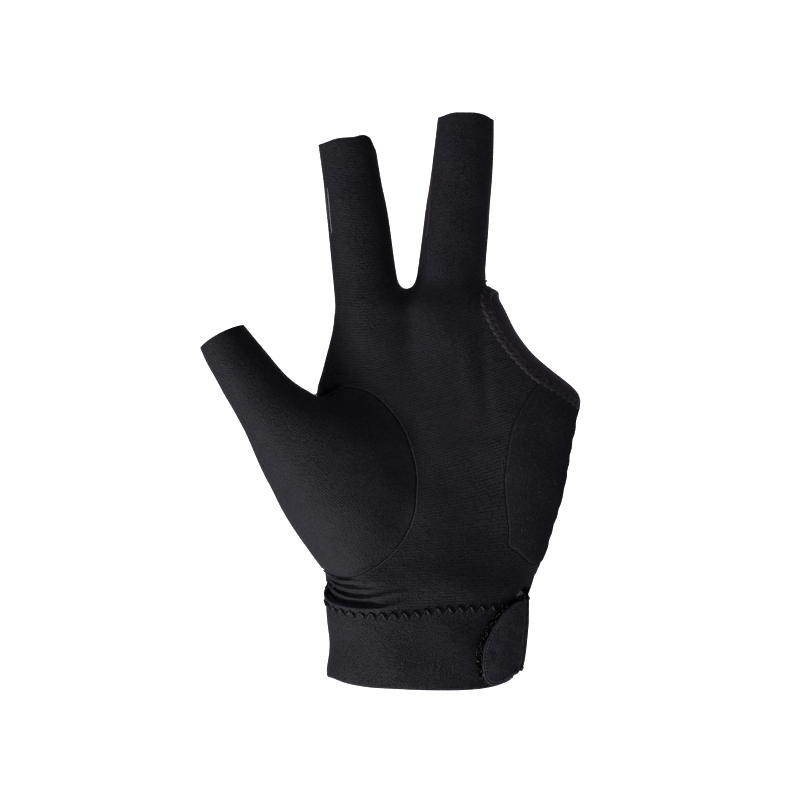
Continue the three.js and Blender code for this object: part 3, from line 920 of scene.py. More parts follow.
palm_parts = cut(side, minus(thumb_region), minus(pad_region), rim_region, above_cuff, beside_slit)
palm = shell("palm_cloth", *palm_parts, palm_field, THICKNESS["cloth"], "stretch_cloth",
             ["palm_panel"], knit(knit_course, knit_wale, palm_clear))
back_parts = cut(minus(side), minus(thumb_region), rim_region, above_cuff)
back = shell("back_cloth", *back_parts, back_field, THICKNESS["cloth"], "back_mesh",
             ["back_panel"], knit(turned(1, 0), back_wale))
thumb_parts = cut(thumb_region, above_cuff)
thumb = shell("thumb_cloth", *thumb_parts, thumb_field, THICKNESS["cloth"], "stretch_cloth",
              ["thumb_panel"], knit(turned(0.80, 0.60), turned(0.60, -0.80)))
pad_parts = cut(side, pad_region, rim_region, above_cuff)
pad = shell("pad_cloth", *pad_parts, pad_field, THICKNESS["pad"], "pad_velour", ["side_pad"])
cuff_parts = cut(minus(above_cuff), off_cuff_slit)
cuff = shell("cuff_band", *cuff_parts, cuff_field, THICKNESS["cuff"], "cuff_knit",
             ["wrist_cuff"], knit(turned(0.62, -0.79), turned(0.79, 0.62)))

# The binding.

RING_STEP = 0.3
PUCKER = 2.4  # from one pucker to the next
BAND = 3.5  # width of the band on the front
# The section, from the band's edge over the fold and back: share of the band's width, and lift.
PROFILE = [
    (1.00, -0.15), (1.00, 0.25), (0.94, 0.50), (0.84, 0.62), (0.70, 0.66), (0.55, 0.68),
    (0.40, 0.68), (0.28, 0.68), (0.16, 0.68), (0.05, 0.50), (-0.06, 0.1), (-0.10, -0.4),
    (-0.06, -0.9), (0.05, -1.25), (0.2, -1.4), (0.5, -1.4), (0.8, -1.35), (1.0, -1.2), (1.0, -0.6),
]
rim_points, rim_tris = largest(*clip(base_points, base_tris, rim_region))


def resampled(loop, spacing):
    closed = np.vstack([loop, loop[:1]])
    length = lengths_along(closed)
    count = int(round(length[-1] / spacing))
    at = np.linspace(0, length[-1], count, endpoint=False)
    return np.stack([np.interp(at, length, closed[:, k]) for k in range(3)], 1)


def circular_blur(values, sigma):
    reach = int(3 * sigma) + 1
    kernel = np.exp(-0.5 * (np.arange(-reach, reach + 1) / sigma) ** 2)
    kernel /= kernel.sum()
    return sum(w * np.roll(values, k - reach, axis=0) for k, w in enumerate(kernel))


def rim_loop():
    """The border of the cloth that lies along the opening's edge."""
    loops = [rim_points[loop] for loop in loops_of(rim_tris)[:8] if len(loop) > 60]
    return min(loops, key=lambda loop: np.abs(rim_region(loop)).mean())


ring = circular_blur(resampled(rim_loop(), RING_STEP), 3.0)
tangent = unit(np.roll(ring, -1, axis=0) - np.roll(ring, 1, axis=0))
normal = unit(circular_blur(unit(gradient(cloth_field, ring)), 3.0))
inward = unit(np.cross(normal, tangent))
if (rim_region(ring + inward) < rim_region(ring - inward)).mean() > 0.5:
    inward = -inward

phase = np.arange(len(ring)) * RING_STEP
front_side = smoothstep(-ring[:, 1], -4, 2)
wave = ripple(phase, PUCKER)
columns, painted_light_inside = [], []
for share, lift in PROFILE:
    width = BAND * share + 0.6 * (wave - 0.5) * front_side * (share > 0.9)
    drawn_in = 0.42 * (1 - wave) ** 3 * front_side * smoothstep(share, 0.10, 0.45) * (lift > 0.2)
    q = project(cloth_field, ring + inward * width[:, None], 2)
    columns.append(q + unit(gradient(cloth_field, q)) * (lift - drawn_in)[:, None])
    # Marks the inner face of the back half, which the binding's material paints lighter as painted
    # light.
    painted_light_inside.append((1 - front_side) * (lift < 0))
columns = np.stack(columns, 1)
ids = np.arange(len(ring) * len(PROFILE)).reshape(len(ring), len(PROFILE))
after = np.roll(ids, -1, axis=0)
quads = np.stack([ids, after, np.roll(after, -1, axis=1), np.roll(ids, -1, axis=1)], -1).reshape(-1, 4)
binding = make_object("binding", columns.reshape(-1, 3), quads, ["rim_binding"],
                      attributes={"run": np.repeat(phase, len(PROFILE)),
                                  "painted_light_inside": np.stack(painted_light_inside, 1).reshape(-1)})

# Patch and strap.

PATCH = [
    (60.0, 29.8), (36.0, 29.6), (33.6, 29.6), (29.5, 27.5), (25.2, 23.8), (20.6, 18.8),
    (17.7, 13.0), (16.6, 6.5), (17.4, 1.2), (20.4, -2.0), (26.0, -1.4), (31.0, 2.8), (60.0, 2.8),
]
STRAP = [
    (60.0, 30.2), (36.5, 30.2), (34.7, 28.4), (31.0, 26.9), (28.0, 24.9), (25.9, 22.6),
    (23.8, 19.6), (21.4, 15.5), (19.6, 11.2), (18.9, 6.8), (18.9, 2.8), (20.1, -1.4),
    (22.5, -3.0), (26.3, -1.9), (30.6, 0.9), (33.6, 2.6), (60.0, 2.6),
]
patch_map = region_map(PATCH, [(80.0, 2.8), (80.0, 29.8)])
strap_map = region_map(STRAP, [(80.0, 2.6), (80.0, 30.2)])


def patch_region(p):
    return patch_map(*seen(p))


def strap_region(p):
    x, z = seen(p, True)
    back = np.minimum(np.minimum(z - 2.6, 30.2 - z), p[:, 0] - 8)
    share = smoothstep(p[:, 1], -5, -1)
    return strap_map(*seen(p)) * (1 - share) + back * share


def wrist_field(p):
    """The wrist under the strap, which stays straight where the heel of the hand widens."""
    z = p[:, 2] - 0.85 * np.maximum(p[:, 2] - 20, 0)
    return tube(p[:, 0], p[:, 1], *hand_at(z), SQUARENESS["hand"])


LOW_WRIST, HIGH_WRIST = np.array([-2.0, -30.0, -5.0]), np.array([44.0, 30.0, 36.0])


def layer(offset, region, edge, reach):
    """A layer over the wrist, cut to a region, with finer triangles within reach of an edge."""
    def field(p):
        return wrist_field(p) - offset(p)

    def wanted(p):
        return np.where(np.abs(edge(p)) < reach, 0.4, 1.0)

    points, tris = surface(field, LOW_WRIST, HIGH_WRIST, 0.9)
    points, tris = refine(project(field, points, 3), tris, wanted, 2)
    points, tris = clip(project(field, points, 2), tris, region)
    return largest(*clip(points, tris, lambda p: p[:, 0] - 3))


def patch_offset(p):
    return np.full(len(p), 1.6)


def strap_offset(p):
    ramp = smoothstep(p[:, 1], -9, 1)
    return 3.3 * (1 - ramp) + 2.0 * ramp


def patch_field(p):
    return wrist_field(p) - patch_offset(p) + edge_round(patch_region(p), 0.5, 0.4)


STRAP_CREASE = np.array([(1.0, 31.6), (8.0, 32.8), (20.0, 33.9), (31.0, 34.2)])  # height and x
STITCH_INSET = 1.45  # from the strap's edge to its stitches


def strap_crease(p):
    """The fold down the strap's right side: a ridge with a groove beyond it."""
    x, z = seen(p)
    beyond = x - np.interp(z, *STRAP_CREASE.T)
    return smoothstep(-p[:, 1], 0, 3) * (0.35 * hill(beyond, -0.5, 0.7) - 0.5 * hill(beyond, 0.35, 0.3))


def strap_field(p):
    """The strap's face, which is turned at its edge and drawn in where it is stitched."""
    distance = strap_region(p)
    drawn_in = 0.14 * hill(distance, STITCH_INSET, 0.25) - 0.12 * hill(distance, 0.8, 0.35)
    face = wrist_field(p) - strap_offset(p) + edge_round(distance, 0.8, 0.7) - strap_crease(p)
    return face + drawn_in * smoothstep(-p[:, 1], 2, 8)


def patch_keep(p):
    return np.minimum(patch_region(p), -7.5 - p[:, 1])


patch_parts = layer(patch_offset, patch_keep, patch_region, 1)
patch = shell("hook_base", *patch_parts, patch_field, THICKNESS["patch"], "hook_tape", ["hook_patch"])
strap_parts = layer(strap_offset, strap_region, strap_region, 2.6)
strap = shell("strap_tab", *strap_parts, strap_field, THICKNESS["strap"], "strap_suede",
              ["closure_strap"])

# Threads and stitches.


def tube_mesh(path, radius, up, sides=6):
    """A closed tube along a path, shut at each end by a flat cap; up is any vector off its axis."""
    n = len(path)
    axis = unit(np.gradient(path, axis=0))
    across = unit(np.cross(axis, up))
    other = np.cross(across, axis)
    angles = 2 * math.pi * np.arange(sides) / sides
    radii = np.full(n, radius) if np.isscalar(radius) else np.asarray(radius)
    ring = np.cos(angles)[:, None] * across[:, None] + np.sin(angles)[:, None] * other[:, None]
    points = (path[:, None] + radii[:, None, None] * ring).reshape(-1, 3)
    faces = []
    for k in range(n - 1):
        for i in range(sides):
            j = (i + 1) % sides
            faces.append((k * sides + i, k * sides + j, (k + 1) * sides + j, (k + 1) * sides + i))
    faces.append(tuple(range(sides))[::-1])
    faces.append(tuple((n - 1) * sides + i for i in range(sides)))
    return points, faces


class Threads:
    """Collects many short tubes into one mesh."""

    def __init__(self):
        self.points, self.faces, self.count = [], [], 0

    def add(self, path, radius, up, sides=6):
        points, faces = tube_mesh(np.asarray(path), radius, up, sides)
        self.points.append(points)
        self.faces += [tuple(i + self.count for i in face) for face in faces]
        self.count += len(points)

    def make(self, name, slot, material):
        made = make_object(name, np.vstack(self.points), self.faces, [])
        made.data.materials.append(material)


def border_paths(points, tris, function, tolerance=0.05, shortest=8.0):
    """The stretches of a mesh's border where function is zero, each as points in order."""
    paths = []
    for loop in loops_of(tris):
        if len(loop) < 12:
            continue
        p = points[loop]
        on = np.abs(function(p)) < tolerance
        if on.all():
            paths.append(np.vstack([p, p[:1]]))
            continue
        start = int(np.argmax(~on))
        p, on = np.roll(p, -start, axis=0), np.roll(on, -start)
        change = np.flatnonzero(np.diff(np.r_[0, on.astype(int), 0]))
        for a, b in zip(change[::2], change[1::2]):
            if b - a > 4:
                paths.append(p[a:b])
    def length(path):
        return lengths_along(path)[-1]

    return sorted((p for p in paths if length(p) > shortest), key=length, reverse=True)


def even(path, spacing, blur=0.8):
    """A path with even spacing, its small steps smoothed away."""
    length = lengths_along(path)
    keep = np.r_[True, np.diff(length) > 1e-6]
    path, length = path[keep], length[keep]
    fine = np.arange(0, length[-1], 0.1)
    dense = np.stack([blurred(np.interp(fine, length, path[:, k]), blur, 0.1) for k in range(3)], 1)
    length = lengths_along(dense)
    at = np.arange(0, length[-1], spacing)
    return np.stack([np.interp(at, length, dense[:, k]) for k in range(3)], 1)


def frame_on(path, field):
    """Along, across and outward directions at each point of a path that lies on a surface."""
    along = unit(np.gradient(path, axis=0))
    out = unit(gradient(field, path))
    return along, unit(np.cross(out, along)), out


def grows(region, path, across):
    """The way across a path in which a region's distance grows."""
    return across * np.sign(region(path + across) - region(path - across))[:, None]


def stitch(centre, way, out, half, lift, bow):
    """Five points of a short stitch, whose ends bow down towards the cloth."""
    t = half * np.linspace(-1, 1, 5)[:, None]
    return centre + t * way + (lift - bow * t * t) * out


def on_surface(xz, field):
    """The first points of a surface that the camera sees at places in the seen plane."""
    xz = np.asarray(xz, float)
    ray = np.column_stack([xz[:, 0], np.zeros(len(xz)), xz[:, 1]]) - EYE
    t = np.full(len(xz), 0.94)
    found = np.zeros(len(xz), bool)
    for _ in range(90):
        found |= field(EYE + ray * t[:, None]) < 0
        t = np.where(found, t, t + 0.001)
    low, high = t - 0.001, t
    for _ in range(14):
        middle = (low + high) / 2
        inside = field(EYE + ray * middle[:, None]) < 0
        high = np.where(inside, middle, high)
        low = np.where(inside, low, middle)
    return (EYE + ray * high[:, None])[found]


# Materials.


class Nodes:
    """Short names for building a material's node tree."""

    def __init__(self, name):
        self.material = bpy.data.materials.new(name)
        self.material.use_nodes = True
        self.tree = self.material.node_tree
        self.tree.nodes.clear()
        self.output = self.tree.nodes.new("ShaderNodeOutputMaterial")
        self.shader = self.tree.nodes.new("ShaderNodeBsdfPrincipled")
        self.link(self.shader.outputs[0], self.output.inputs[0])
        self.place = self.tree.nodes.new("ShaderNodeTexCoord").outputs["Object"]

    def link(self, a, b):
        self.tree.links.new(a, b)

    def put(self, value, socket):
        if isinstance(value, bpy.types.NodeSocket):
            self.link(value, socket)
        else:
            socket.default_value = value

    def math(self, operation, a, b=0.0, clamp=False):
        node = self.tree.nodes.new("ShaderNodeMath")
        node.operation = operation
        node.use_clamp = clamp
        self.put(a, node.inputs[0])
        self.put(b, node.inputs[1])
        return node.outputs[0]

    def times(self, a, b):
        return self.math("MULTIPLY", a, b)

    def plus(self, a, b, clamp=False):
        return self.math("ADD", a, b, clamp)

    def attribute(self, name):
        node = self.tree.nodes.new("ShaderNodeAttribute")
        node.attribute_name = name
        return node.outputs["Fac"]

    def noise(self, scale, detail=2.0, roughness=0.5):
        node = self.tree.nodes.new("ShaderNodeTexNoise")
        node.inputs["Scale"].default_value = scale
        node.inputs["Detail"].default_value = detail
        node.inputs["Roughness"].default_value = roughness
        self.link(self.place, node.inputs["Vector"])
        return node.outputs["Fac"]

    def cells(self, scale):
        node = self.tree.nodes.new("ShaderNodeTexVoronoi")
        node.inputs["Scale"].default_value = scale
        self.link(self.place, node.inputs["Vector"])
        return node.outputs["Distance"]

    def spread(self, value, low, high, to_low=0.0, to_high=1.0):
        node = self.tree.nodes.new("ShaderNodeMapRange")
        self.put(value, node.inputs["Value"])
        for key, number in (("From Min", low), ("From Max", high), ("To Min", to_low),
                            ("To Max", to_high)):
            node.inputs[key].default_value = number
        return node.outputs["Result"]

    def wave(self, value, pitch):
        """A wave from 0 to 1 along a value in millimetres."""
        angle = self.times(value, 2 * math.pi / pitch)
        return self.plus(self.times(self.math("SINE", angle), 0.5), 0.5)

    def mix(self, share, a, b):
        node = self.tree.nodes.new("ShaderNodeMix")
        node.data_type = "RGBA"
        self.put(share, node.inputs[0])
        for value, socket in ((a, node.inputs[6]), (b, node.inputs[7])):
            self.put((*value, 1) if isinstance(value, tuple) else value, socket)
        return node.outputs[2]

    def bump(self, height, strength, distance, under=None):
        node = self.tree.nodes.new("ShaderNodeBump")
        node.inputs["Strength"].default_value = strength
        node.inputs["Distance"].default_value = distance
        self.link(height, node.inputs["Height"])
        if under:
            self.link(under, node.inputs["Normal"])
        return node.outputs[0]

    def finish(self, colour, roughness, normal=None, specular=0.2, ior=1.3, sheen=0.0,
               sheen_roughness=0.4, tint=(1, 1, 1)):
        inputs = self.shader.inputs
        self.put((*colour, 1) if isinstance(colour, tuple) else colour, inputs["Base Color"])
        self.put(roughness, inputs["Roughness"])
        inputs["Specular IOR Level"].default_value = specular
        inputs["IOR"].default_value = ior
        inputs["Sheen Weight"].default_value = sheen
        inputs["Sheen Roughness"].default_value = sheen_roughness
        inputs["Sheen Tint"].default_value = (*tint, 1)
        if normal:
            self.link(normal, inputs["Normal"])
        return self.material


def knit_material(name, dark, light, course, wale, contrast, grain):
    """A fine knit whose courses and wales follow the panel's own phase."""
    n = Nodes(name)
    wobble = n.times(n.math("SUBTRACT", n.noise(300, 2), 0.5), 0.3)
    rows = n.wave(n.plus(n.attribute("course"), wobble), course)
    ribs = n.wave(n.plus(n.attribute("wale"), wobble), wale)
    loops = n.times(n.times(rows, n.attribute("clear")), n.spread(ribs, 0, 1, 0.6, 1.0))
    patches = n.spread(n.noise(38, 3, 0.55), 0.3, 0.7)
    grains = n.noise(1900, 1, 0.5)
    specks = n.spread(grains, 0.36, 0.64)
    rest = n.plus(n.times(patches, 0.06), n.times(specks, grain))
    share = n.plus(n.times(loops, contrast), rest, clamp=True)
    normal = n.bump(loops, 0.7, 0.00013, n.bump(grains, 1.0, 0.00034))
    return n.finish(n.mix(share, dark, light), n.spread(specks, 0, 1, 0.46, 0.64), normal,
                    0.032, 1.33, 0.003, 0.35, (0.78, 0.72, 1.0))


def mesh_material():
    """The lighter, open knit of the back, with small holes between its loops."""
    n = Nodes("back_knit")
    rows = n.wave(n.attribute("course"), 1.5)
    ribs = n.wave(n.attribute("wale"), 1.2)
    hole = n.spread(n.times(rows, ribs), 0.5, 0.85)
    patches = n.times(n.spread(n.noise(40, 3), 0.3, 0.7), 0.6)
    yarn = n.mix(patches, (0.0060, 0.0055, 0.0075), (0.0110, 0.0100, 0.0130))
    colour = n.mix(hole, yarn, (0.001, 0.001, 0.0012))
    fine = n.bump(n.noise(3000, 1), 0.3, 0.00005)
    normal = n.bump(n.math("SUBTRACT", 1.0, hole), 0.6, 0.00018, fine)
    return n.finish(colour, n.spread(hole, 0, 1, 0.55, 0.9), normal,
                    0.06, 1.33, 0.01, 0.3, (0.86, 0.82, 1.0))


def velour_material():
    n = Nodes("velour")
    nap = n.noise(1500, 3, 0.7)
    specks = n.times(n.spread(n.noise(2300, 1), 0.66, 0.78), 0.6)
    patches = n.spread(n.noise(70, 2), 0.35, 0.65)
    grain = n.times(n.spread(nap, 0.28, 0.72), n.spread(patches, 0, 1, 0.8, 1.0))
    dark = n.mix(grain, (0.0013, 0.0012, 0.0018), (0.0050, 0.0047, 0.0063))
    colour = n.mix(specks, dark, (0.030, 0.029, 0.034))
    return n.finish(colour, 0.95, n.bump(nap, 0.8, 0.00025), 0.02, 1.3, 0.004, 0.6, (0.8, 0.86, 1.0))


def tape_material():
    n = Nodes("tape")
    ribs = n.wave(n.attribute("run"), 0.42)
    patches = n.spread(n.noise(900, 3, 0.7), 0.4, 0.62)
    share = n.plus(n.times(ribs, 0.35), n.times(patches, 0.6))
    colour = n.mix(share, (0.0012, 0.00095, 0.0015), (0.0066, 0.0054, 0.0080))
    # The inner face of the back half is coloured far lighter: painted light, standing in for light that
    # the shade of the opening keeps off it.
    colour = n.mix(n.attribute("painted_light_inside"), colour, (0.0260, 0.0215, 0.0310))
    normal = n.bump(ribs, 0.5, 0.00008, n.bump(n.noise(1800, 2), 0.3, 0.00008))
    return n.finish(colour, 0.55, normal, 0.06, 1.35, 0.004, 0.4, (0.95, 0.85, 1.0))


def suede_material():
    n = Nodes("suede")
    nap = n.noise(1300, 4, 0.7)
    patches = n.spread(n.noise(120, 3, 0.6), 0.32, 0.68)
    worn = n.spread(n.noise(420, 2, 0.6), 0.45, 0.7)
    grain = n.spread(n.noise(1600, 2, 0.75), 0.42, 0.60)
    broad = n.plus(n.times(patches, 0.30), n.times(worn, 0.22))
    share = n.plus(broad, n.times(grain, 0.48))
    colour = n.mix(share, (0.0012, 0.0011, 0.0018), (0.0125, 0.0119, 0.0160))
    return n.finish(colour, 0.85, n.bump(nap, 0.6, 0.00012), 0.03, 1.3, 0.006, 0.5, (0.78, 0.88, 1.0))


def hook_material():
    n = Nodes("hooks")
    specks = n.spread(n.noise(2600, 2, 0.7), 0.5, 0.75)
    colour = n.mix(specks, (0.00015, 0.00015, 0.00020), (0.0010, 0.0010, 0.0012))
    return n.finish(colour, 0.7, n.bump(n.cells(2200), 0.9, 0.0003), 0.03, 1.35)


def thread_material(name, colour, roughness=0.5, specular=0.5, twist=0.35):
    """Twisted thread, whose hollows have the share twist of its colour."""
    n = Nodes(name)
    twine = n.noise(4200, 2, 0.6)
    dark = tuple(c * twist for c in colour)
    return n.finish(n.mix(twine, dark, colour), roughness, n.bump(twine, 0.5, 0.00006), specular, 1.45)


# Each knit's dark and light colours, the pitch of its courses and wales, and its contrast and grain.
for piece, *values in (
    (palm, "palm_knit", (0.00035, 0.00033, 0.00050), (0.0068, 0.0062, 0.0087), 1.0, 0.9, 0.62, 0.50),
    (thumb, "thumb_knit", (0.00045, 0.00042, 0.00065), (0.0062, 0.0057, 0.0080), 0.8, 0.66, 0.56, 0.54),
    (cuff, "cuff_rib", (0.00045, 0.00043, 0.00060), (0.0070, 0.0065, 0.0089), 0.9, 0.8, 0.54, 0.52),
):
    piece.data.materials.append(knit_material(*values))
for piece, material in (
    (back, mesh_material()), (pad, velour_material()), (binding, tape_material()),
    (patch, hook_material()), (strap, suede_material()),
):
    piece.data.materials.append(material)
dark_thread = thread_material("dark_thread", (0.0005, 0.00045, 0.0007), 0.5, 0.02)
# Pale thread: the thumb seam's stitches, whose paleness partly stands in for their sheen, and the
# zigzag's painted highlights.
pale_thread_and_glint = thread_material("pale_thread_and_glint", (0.020, 0.019, 0.024), 0.45, 0.06, 0.4)
edge_thread = thread_material("edge_thread", (0.021, 0.0205, 0.026), 0.5, 0.08, 0.3)

# Seams.

# The seam allowances, which lie inside along the edges of the panels.
allowances = Threads()
for parts, function in ((palm_parts, side), (thumb_parts, thumb_region), (pad_parts, pad_region),
                        (pad_parts, side), (cuff_parts, above_cuff)):
    for path in border_paths(*parts, function):
        path = even(path, 0.7)
        out = unit(gradient(cloth_field, path))
        path = project(cloth_field, path, 2)
        allowances.add(path - 0.75 * out, 0.42, out[0] + 0.01)
        if function is thumb_region:
            allowances.add(path - 1.75 * out, 0.85, out[0] + 0.01)
allowances.make("seam_allowances", "stretch_cloth", dark_thread)


def seam_stitches(name, slot, material, parts, region, spacing, inset, lean, half, lift, bow, radii):
    """Short stitches on the palm's side of a panel's seam, which lean along and across it."""
    threads = Threads()
    for path in border_paths(*parts, region):
        path = even(path, spacing)
        along, across, out = frame_on(path, cloth_field)
        palmward = -grows(region, path, across)
        for p, a, b, n in zip(path, along, palmward, out):
            way = lean[0] * a + lean[1] * b
            threads.add(stitch(p + inset * b, way, n, half, lift, bow), radii, n)
    threads.make(name, slot, material)


# The thumb seam's stitches are pale partly in their own right and partly as painted sheen.
seam_stitches("thumb_seam_stitches", "stretch_cloth", pale_thread_and_glint, thumb_parts, thumb_region,
              0.78, 0.42, (0.85, 0.5), 0.30, 0.03, 0.9, [0.06, 0.14, 0.17, 0.14, 0.06])
seam_stitches("pad_seam_stitches", "pad_velour", dark_thread, pad_parts, pad_region,
              1.1, 0.30, (1.0, 0.0), 0.36, -0.10, 0.6, [0.04, 0.09, 0.10, 0.09, 0.04])

# The zigzag that joins the hand to the cuff.
ZIG_PITCH = 3.8
ZIG_HEIGHT = 1.4
zigzag, zigzag_glints = Threads(), Threads()
for path in border_paths(*cuff_parts, above_cuff):
    path = even(path, ZIG_PITCH / 2, 1.2)
    along, across, out = frame_on(path, cloth_field)
    up = across * np.sign(across[:, 2])[:, None]
    sway = np.where(np.arange(len(path)) % 2 == 0, 1.0, -1.0)
    corner = path + up * (ZIG_HEIGHT * sway - 0.15)[:, None]
    for k in range(len(path) - 1):
        t = np.linspace(0, 1, 7)[:, None]
        line = corner[k] * (1 - t) + corner[k + 1] * t
        line = project(cloth_field, line, 2)
        lift = 0.36 + 0.10 * np.sin(math.pi * t)
        lift[[0, -1]] -= 0.35
        n = unit(gradient(cloth_field, line))
        zigzag.add(line + n * lift, [0.14, 0.20, 0.22, 0.22, 0.22, 0.20, 0.14], out[k])
        # Beside each stroke a short pale thread is laid as a painted highlight.
        beside = project(cloth_field, line[1:6] - along[k] * (0.42 * sway[k]), 2)
        zigzag_glints.add(beside + n[1:6] * 0.22, [0.05, 0.12, 0.15, 0.12, 0.05], out[k])
zigzag.make("zigzag_stitches", "cuff_knit", dark_thread)
zigzag_glints.make("zigzag_glints", "cuff_knit", pale_thread_and_glint)

# Stitches along the strap's edge.
strap_stitches = Threads()
for path in border_paths(*strap_parts, strap_region, 0.5):
    path = even(path, 1.3, 0.6)
    along, across, out = frame_on(path, wrist_field)
    centres = project(strap_field, path + STITCH_INSET * grows(strap_region, path, across), 3)
    for centre, a, n, inset in zip(centres, along, out, strap_region(centres)):
        if inset >= 1.0:
            points = stitch(centre, a, n, 0.36, 0.22, 0.9)
            strap_stitches.add(points, [0.05, 0.13, 0.16, 0.13, 0.05], n)
strap_stitches.make("strap_stitches", "strap_suede", edge_thread)

# The binding's cover stitch: a pair of short threads over each pucker. Their pale colour is partly the
# thread's own and partly a painted highlight on the puckers' crests.
# Each thread's shift along the band, and the shares of the band's width between which it runs.
PAIR = ((-0.32, 0.42, 1.02), (0.35, 0.60, 1.10))
LIFTS = np.array([0.30, 0.42, 0.46, 0.44, 0.38, 0.26, 0.05])
band_threads = Threads()
for at in np.arange(1.2, RING_STEP * len(ring) - 0.6, PUCKER):
    for shift, low_share, high_share in PAIR:
        k = int(round((at + shift) / RING_STEP)) % len(ring)
        shares = np.linspace(low_share, high_share, 7)
        slant = np.linspace(-0.35, 0.35, 7)
        line = ring[k] + inward[k] * (BAND * shares)[:, None] + tangent[k] * slant[:, None]
        line = project(cloth_field, line, 2)
        n = unit(gradient(cloth_field, line))
        band_threads.add(line + n * LIFTS[:, None], [0.05, 0.10, 0.13, 0.13, 0.12, 0.10, 0.06], n[3])
band_threads.make("binding_stitches", "binding_tape",
                  thread_material("band_thread", (0.014, 0.0125, 0.016), 0.45, 0.08, 0.3))

# Pale strips along the seam edges of the sleeves: painted light, standing in for the backdrop's light
# that shows at those edges.
for name, colour, radius, spots in (
    ("sleeve_edge_light", (0.09, 0.075, 0.075), 0.14,
     [(-35.2, 171.6), (-34.7, 167.0), (-34.3, 161.8), (-33.9, 158.2), (-33.6, 155.8)]),
    ("sleeve_edge_light_left", (0.030, 0.016, 0.015), 0.10,
     [(1.6, 176.0), (0.9, 170.0), (0.1, 160.0), (-0.6, 154.5)]),
    ("sleeve_edge_light_right", (0.035, 0.019, 0.018), 0.10,
     [(21.5, 175.0), (21.1, 168.0), (20.6, 160.0), (19.9, 154.5)]),
):
    tape = Threads()
    line = on_surface(smooth_line(spots, 0.8), cloth_field)
    up = unit(gradient(cloth_field, line))
    tape.add(line + up * 0.02, radius, up[len(up) // 2])
    tape.make(name, "stretch_cloth", thread_material(name, colour, 0.6, 0.05, 0.6))

# Loops of the hook patch, thickest where the strap leaves it bare.
hooks, bright_hooks = Threads(), Threads()
HOOKS = 5200
candidates = np.column_stack([rng.uniform(15.5, 34, HOOKS), rng.uniform(-3, 30, HOOKS)])
keep = (patch_map(*candidates.T) > 0.15) & (strap_map(*candidates.T) < 0.5)
feet = on_surface(candidates[keep], patch_field)
for p, n in zip(feet, unit(gradient(patch_field, feet))):
    way = unit(np.cross(n, rng.normal(size=3)))
    tall, wide = rng.uniform(0.35, 0.75), rng.uniform(0.14, 0.26)
    t = np.linspace(0, math.pi, 6)
    arch = p + np.outer(-np.cos(t) * wide, way) + np.outer(np.sin(t) * tall - 0.1, n)
    # About a sixth of the loops get a pale material: painted glints of light.
    chosen = bright_hooks if rng.uniform() < 0.16 else hooks
    chosen.add(arch, 0.05, np.cross(way, n), 4)
hooks.make("hook_loops", "hook_tape",
           thread_material("hook_thread", (0.0007, 0.0007, 0.0009), 0.5, 0.03))
bright_hooks.make("hook_glints", "hook_tape",
                  thread_material("hook_glint", (0.045, 0.042, 0.048), 0.3, 0.2))

# Lint.
lint = Threads()
LINT = 110
spots = np.column_stack([rng.uniform(-75, 50, LINT), rng.uniform(-2, 190, LINT)])
spots = on_surface(spots, cloth_field)
spots = spots[np.minimum(rim_region(spots), np.minimum(above_hem(spots), below_tips(spots))) > 1.5]
for p, n in zip(spots, unit(gradient(cloth_field, spots))):
    way = unit(np.cross(n, rng.normal(size=3)))
    size = rng.uniform(0.08, 0.2)
    path = [p + n * 0.5 + way * t for t in (-size, 0, size)]
    lint.add(path, [0.03, 0.07, 0.03], n, 4)
lint.make("lint", "stretch_cloth",
          thread_material("lint_thread", (0.035, 0.009, 0.011), 0.8, 0.05, 0.8))

# The studio.

STUDIO, FLOOR, TOP = 4.0, -1.3, 4.0  # half its width, and the heights of its floor and its top
WALLS = 32  # of the round backdrop


def glowing(name, strength):
    """A pale, even material for the floor and the backdrop."""
    n = Nodes(name)
    n.shader.inputs["Emission Color"].default_value = (1, 1, 1, 1)
    n.shader.inputs["Emission Strength"].default_value = strength
    return n.finish((0.92, 0.92, 0.92), 0.9)


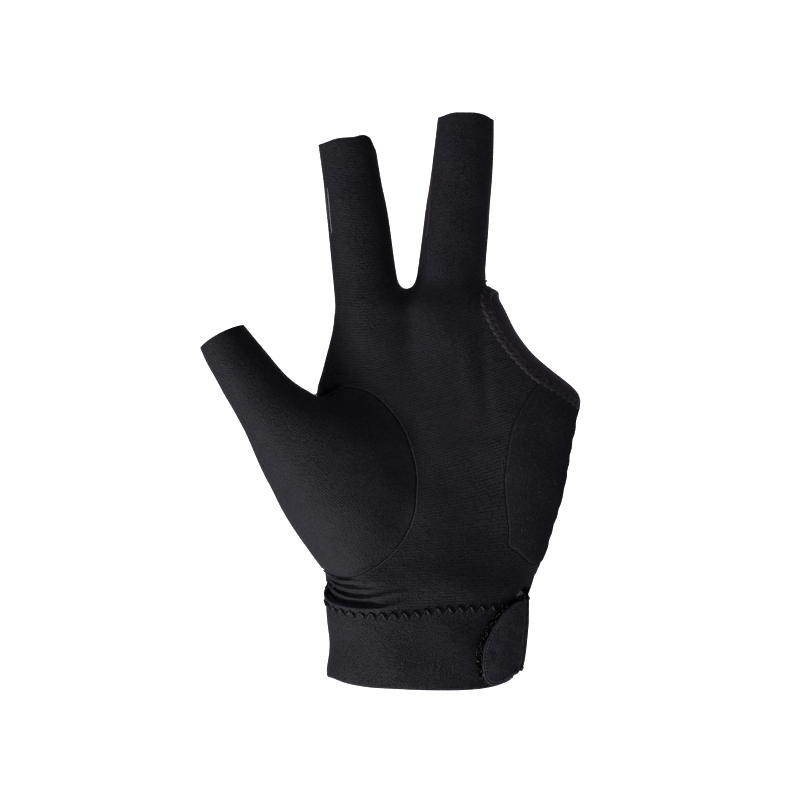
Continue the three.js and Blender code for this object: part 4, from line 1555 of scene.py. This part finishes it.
def make_stage(name, points, faces, strength):
    mesh = bpy.data.meshes.new(name)
    mesh.from_pydata(points, [], faces)
    made = bpy.data.objects.new(name, mesh)
    bpy.context.scene.collection.objects.link(made)
    made.data.materials.append(glowing(name, strength))
    return made


def make_floor():
    corners = [(x * STUDIO, y * STUDIO, FLOOR) for x, y in ((-1, -1), (1, -1), (1, 1), (-1, 1))]
    make_stage("floor", corners, [(0, 1, 2, 3)], 0.6)


def make_backdrop():
    """A white drum round the studio, which shows behind the glove and lights nothing."""
    turns = np.linspace(0, 2 * math.pi, WALLS, endpoint=False)
    ends = (FLOOR - 0.1, TOP)
    points = [(STUDIO * math.cos(t), STUDIO * math.sin(t), z) for z in ends for t in turns]
    walls = [(k, (k + 1) % WALLS, (k + 1) % WALLS + WALLS, k + WALLS) for k in range(WALLS)]
    drum = make_stage("backdrop", points, [*walls, tuple(range(WALLS, 2 * WALLS))], 1.0)
    for ray in ("visible_diffuse", "visible_glossy", "visible_shadow"):
        setattr(drum, ray, False)


def make_world():
    world = bpy.data.worlds.new("studio")
    bpy.context.scene.world = world
    world.use_nodes = True
    background = world.node_tree.nodes["Background"]
    background.inputs[0].default_value = (1, 1, 1, 1)
    background.inputs[1].default_value = 0.5
    bpy.context.scene.view_settings.view_transform = "Standard"


make_floor()
make_backdrop()
make_world()
make_light("key", (-0.68, -0.48, -0.80), (0, 0, 0.08), (0.5, 0.5), 104)
make_light("upper_left", (-0.50, -0.85, 0.50), (0, 0, 0.15), (0.5, 0.5), 3)
make_light("left_edge", (-0.85, -0.20, 0.30), (0, 0, 0.15), (0.3, 0.5), 7, (0.97, 0.96, 1.0))
make_light("right_edge", (0.8, 0.2, 0.0), (0, 0, 0.1), (0.3, 0.6), 2.5, (0.75, 0.88, 1.0))
make_light("above", (0.55, -0.50, 0.60), (0, 0, 0.1), (0.5, 0.5), 4)
behind = make_light("behind", (0.15, 1.0, 0.35), (0, 0, 0.1), (0.6, 0.6), 34)
behind.visible_glossy = False
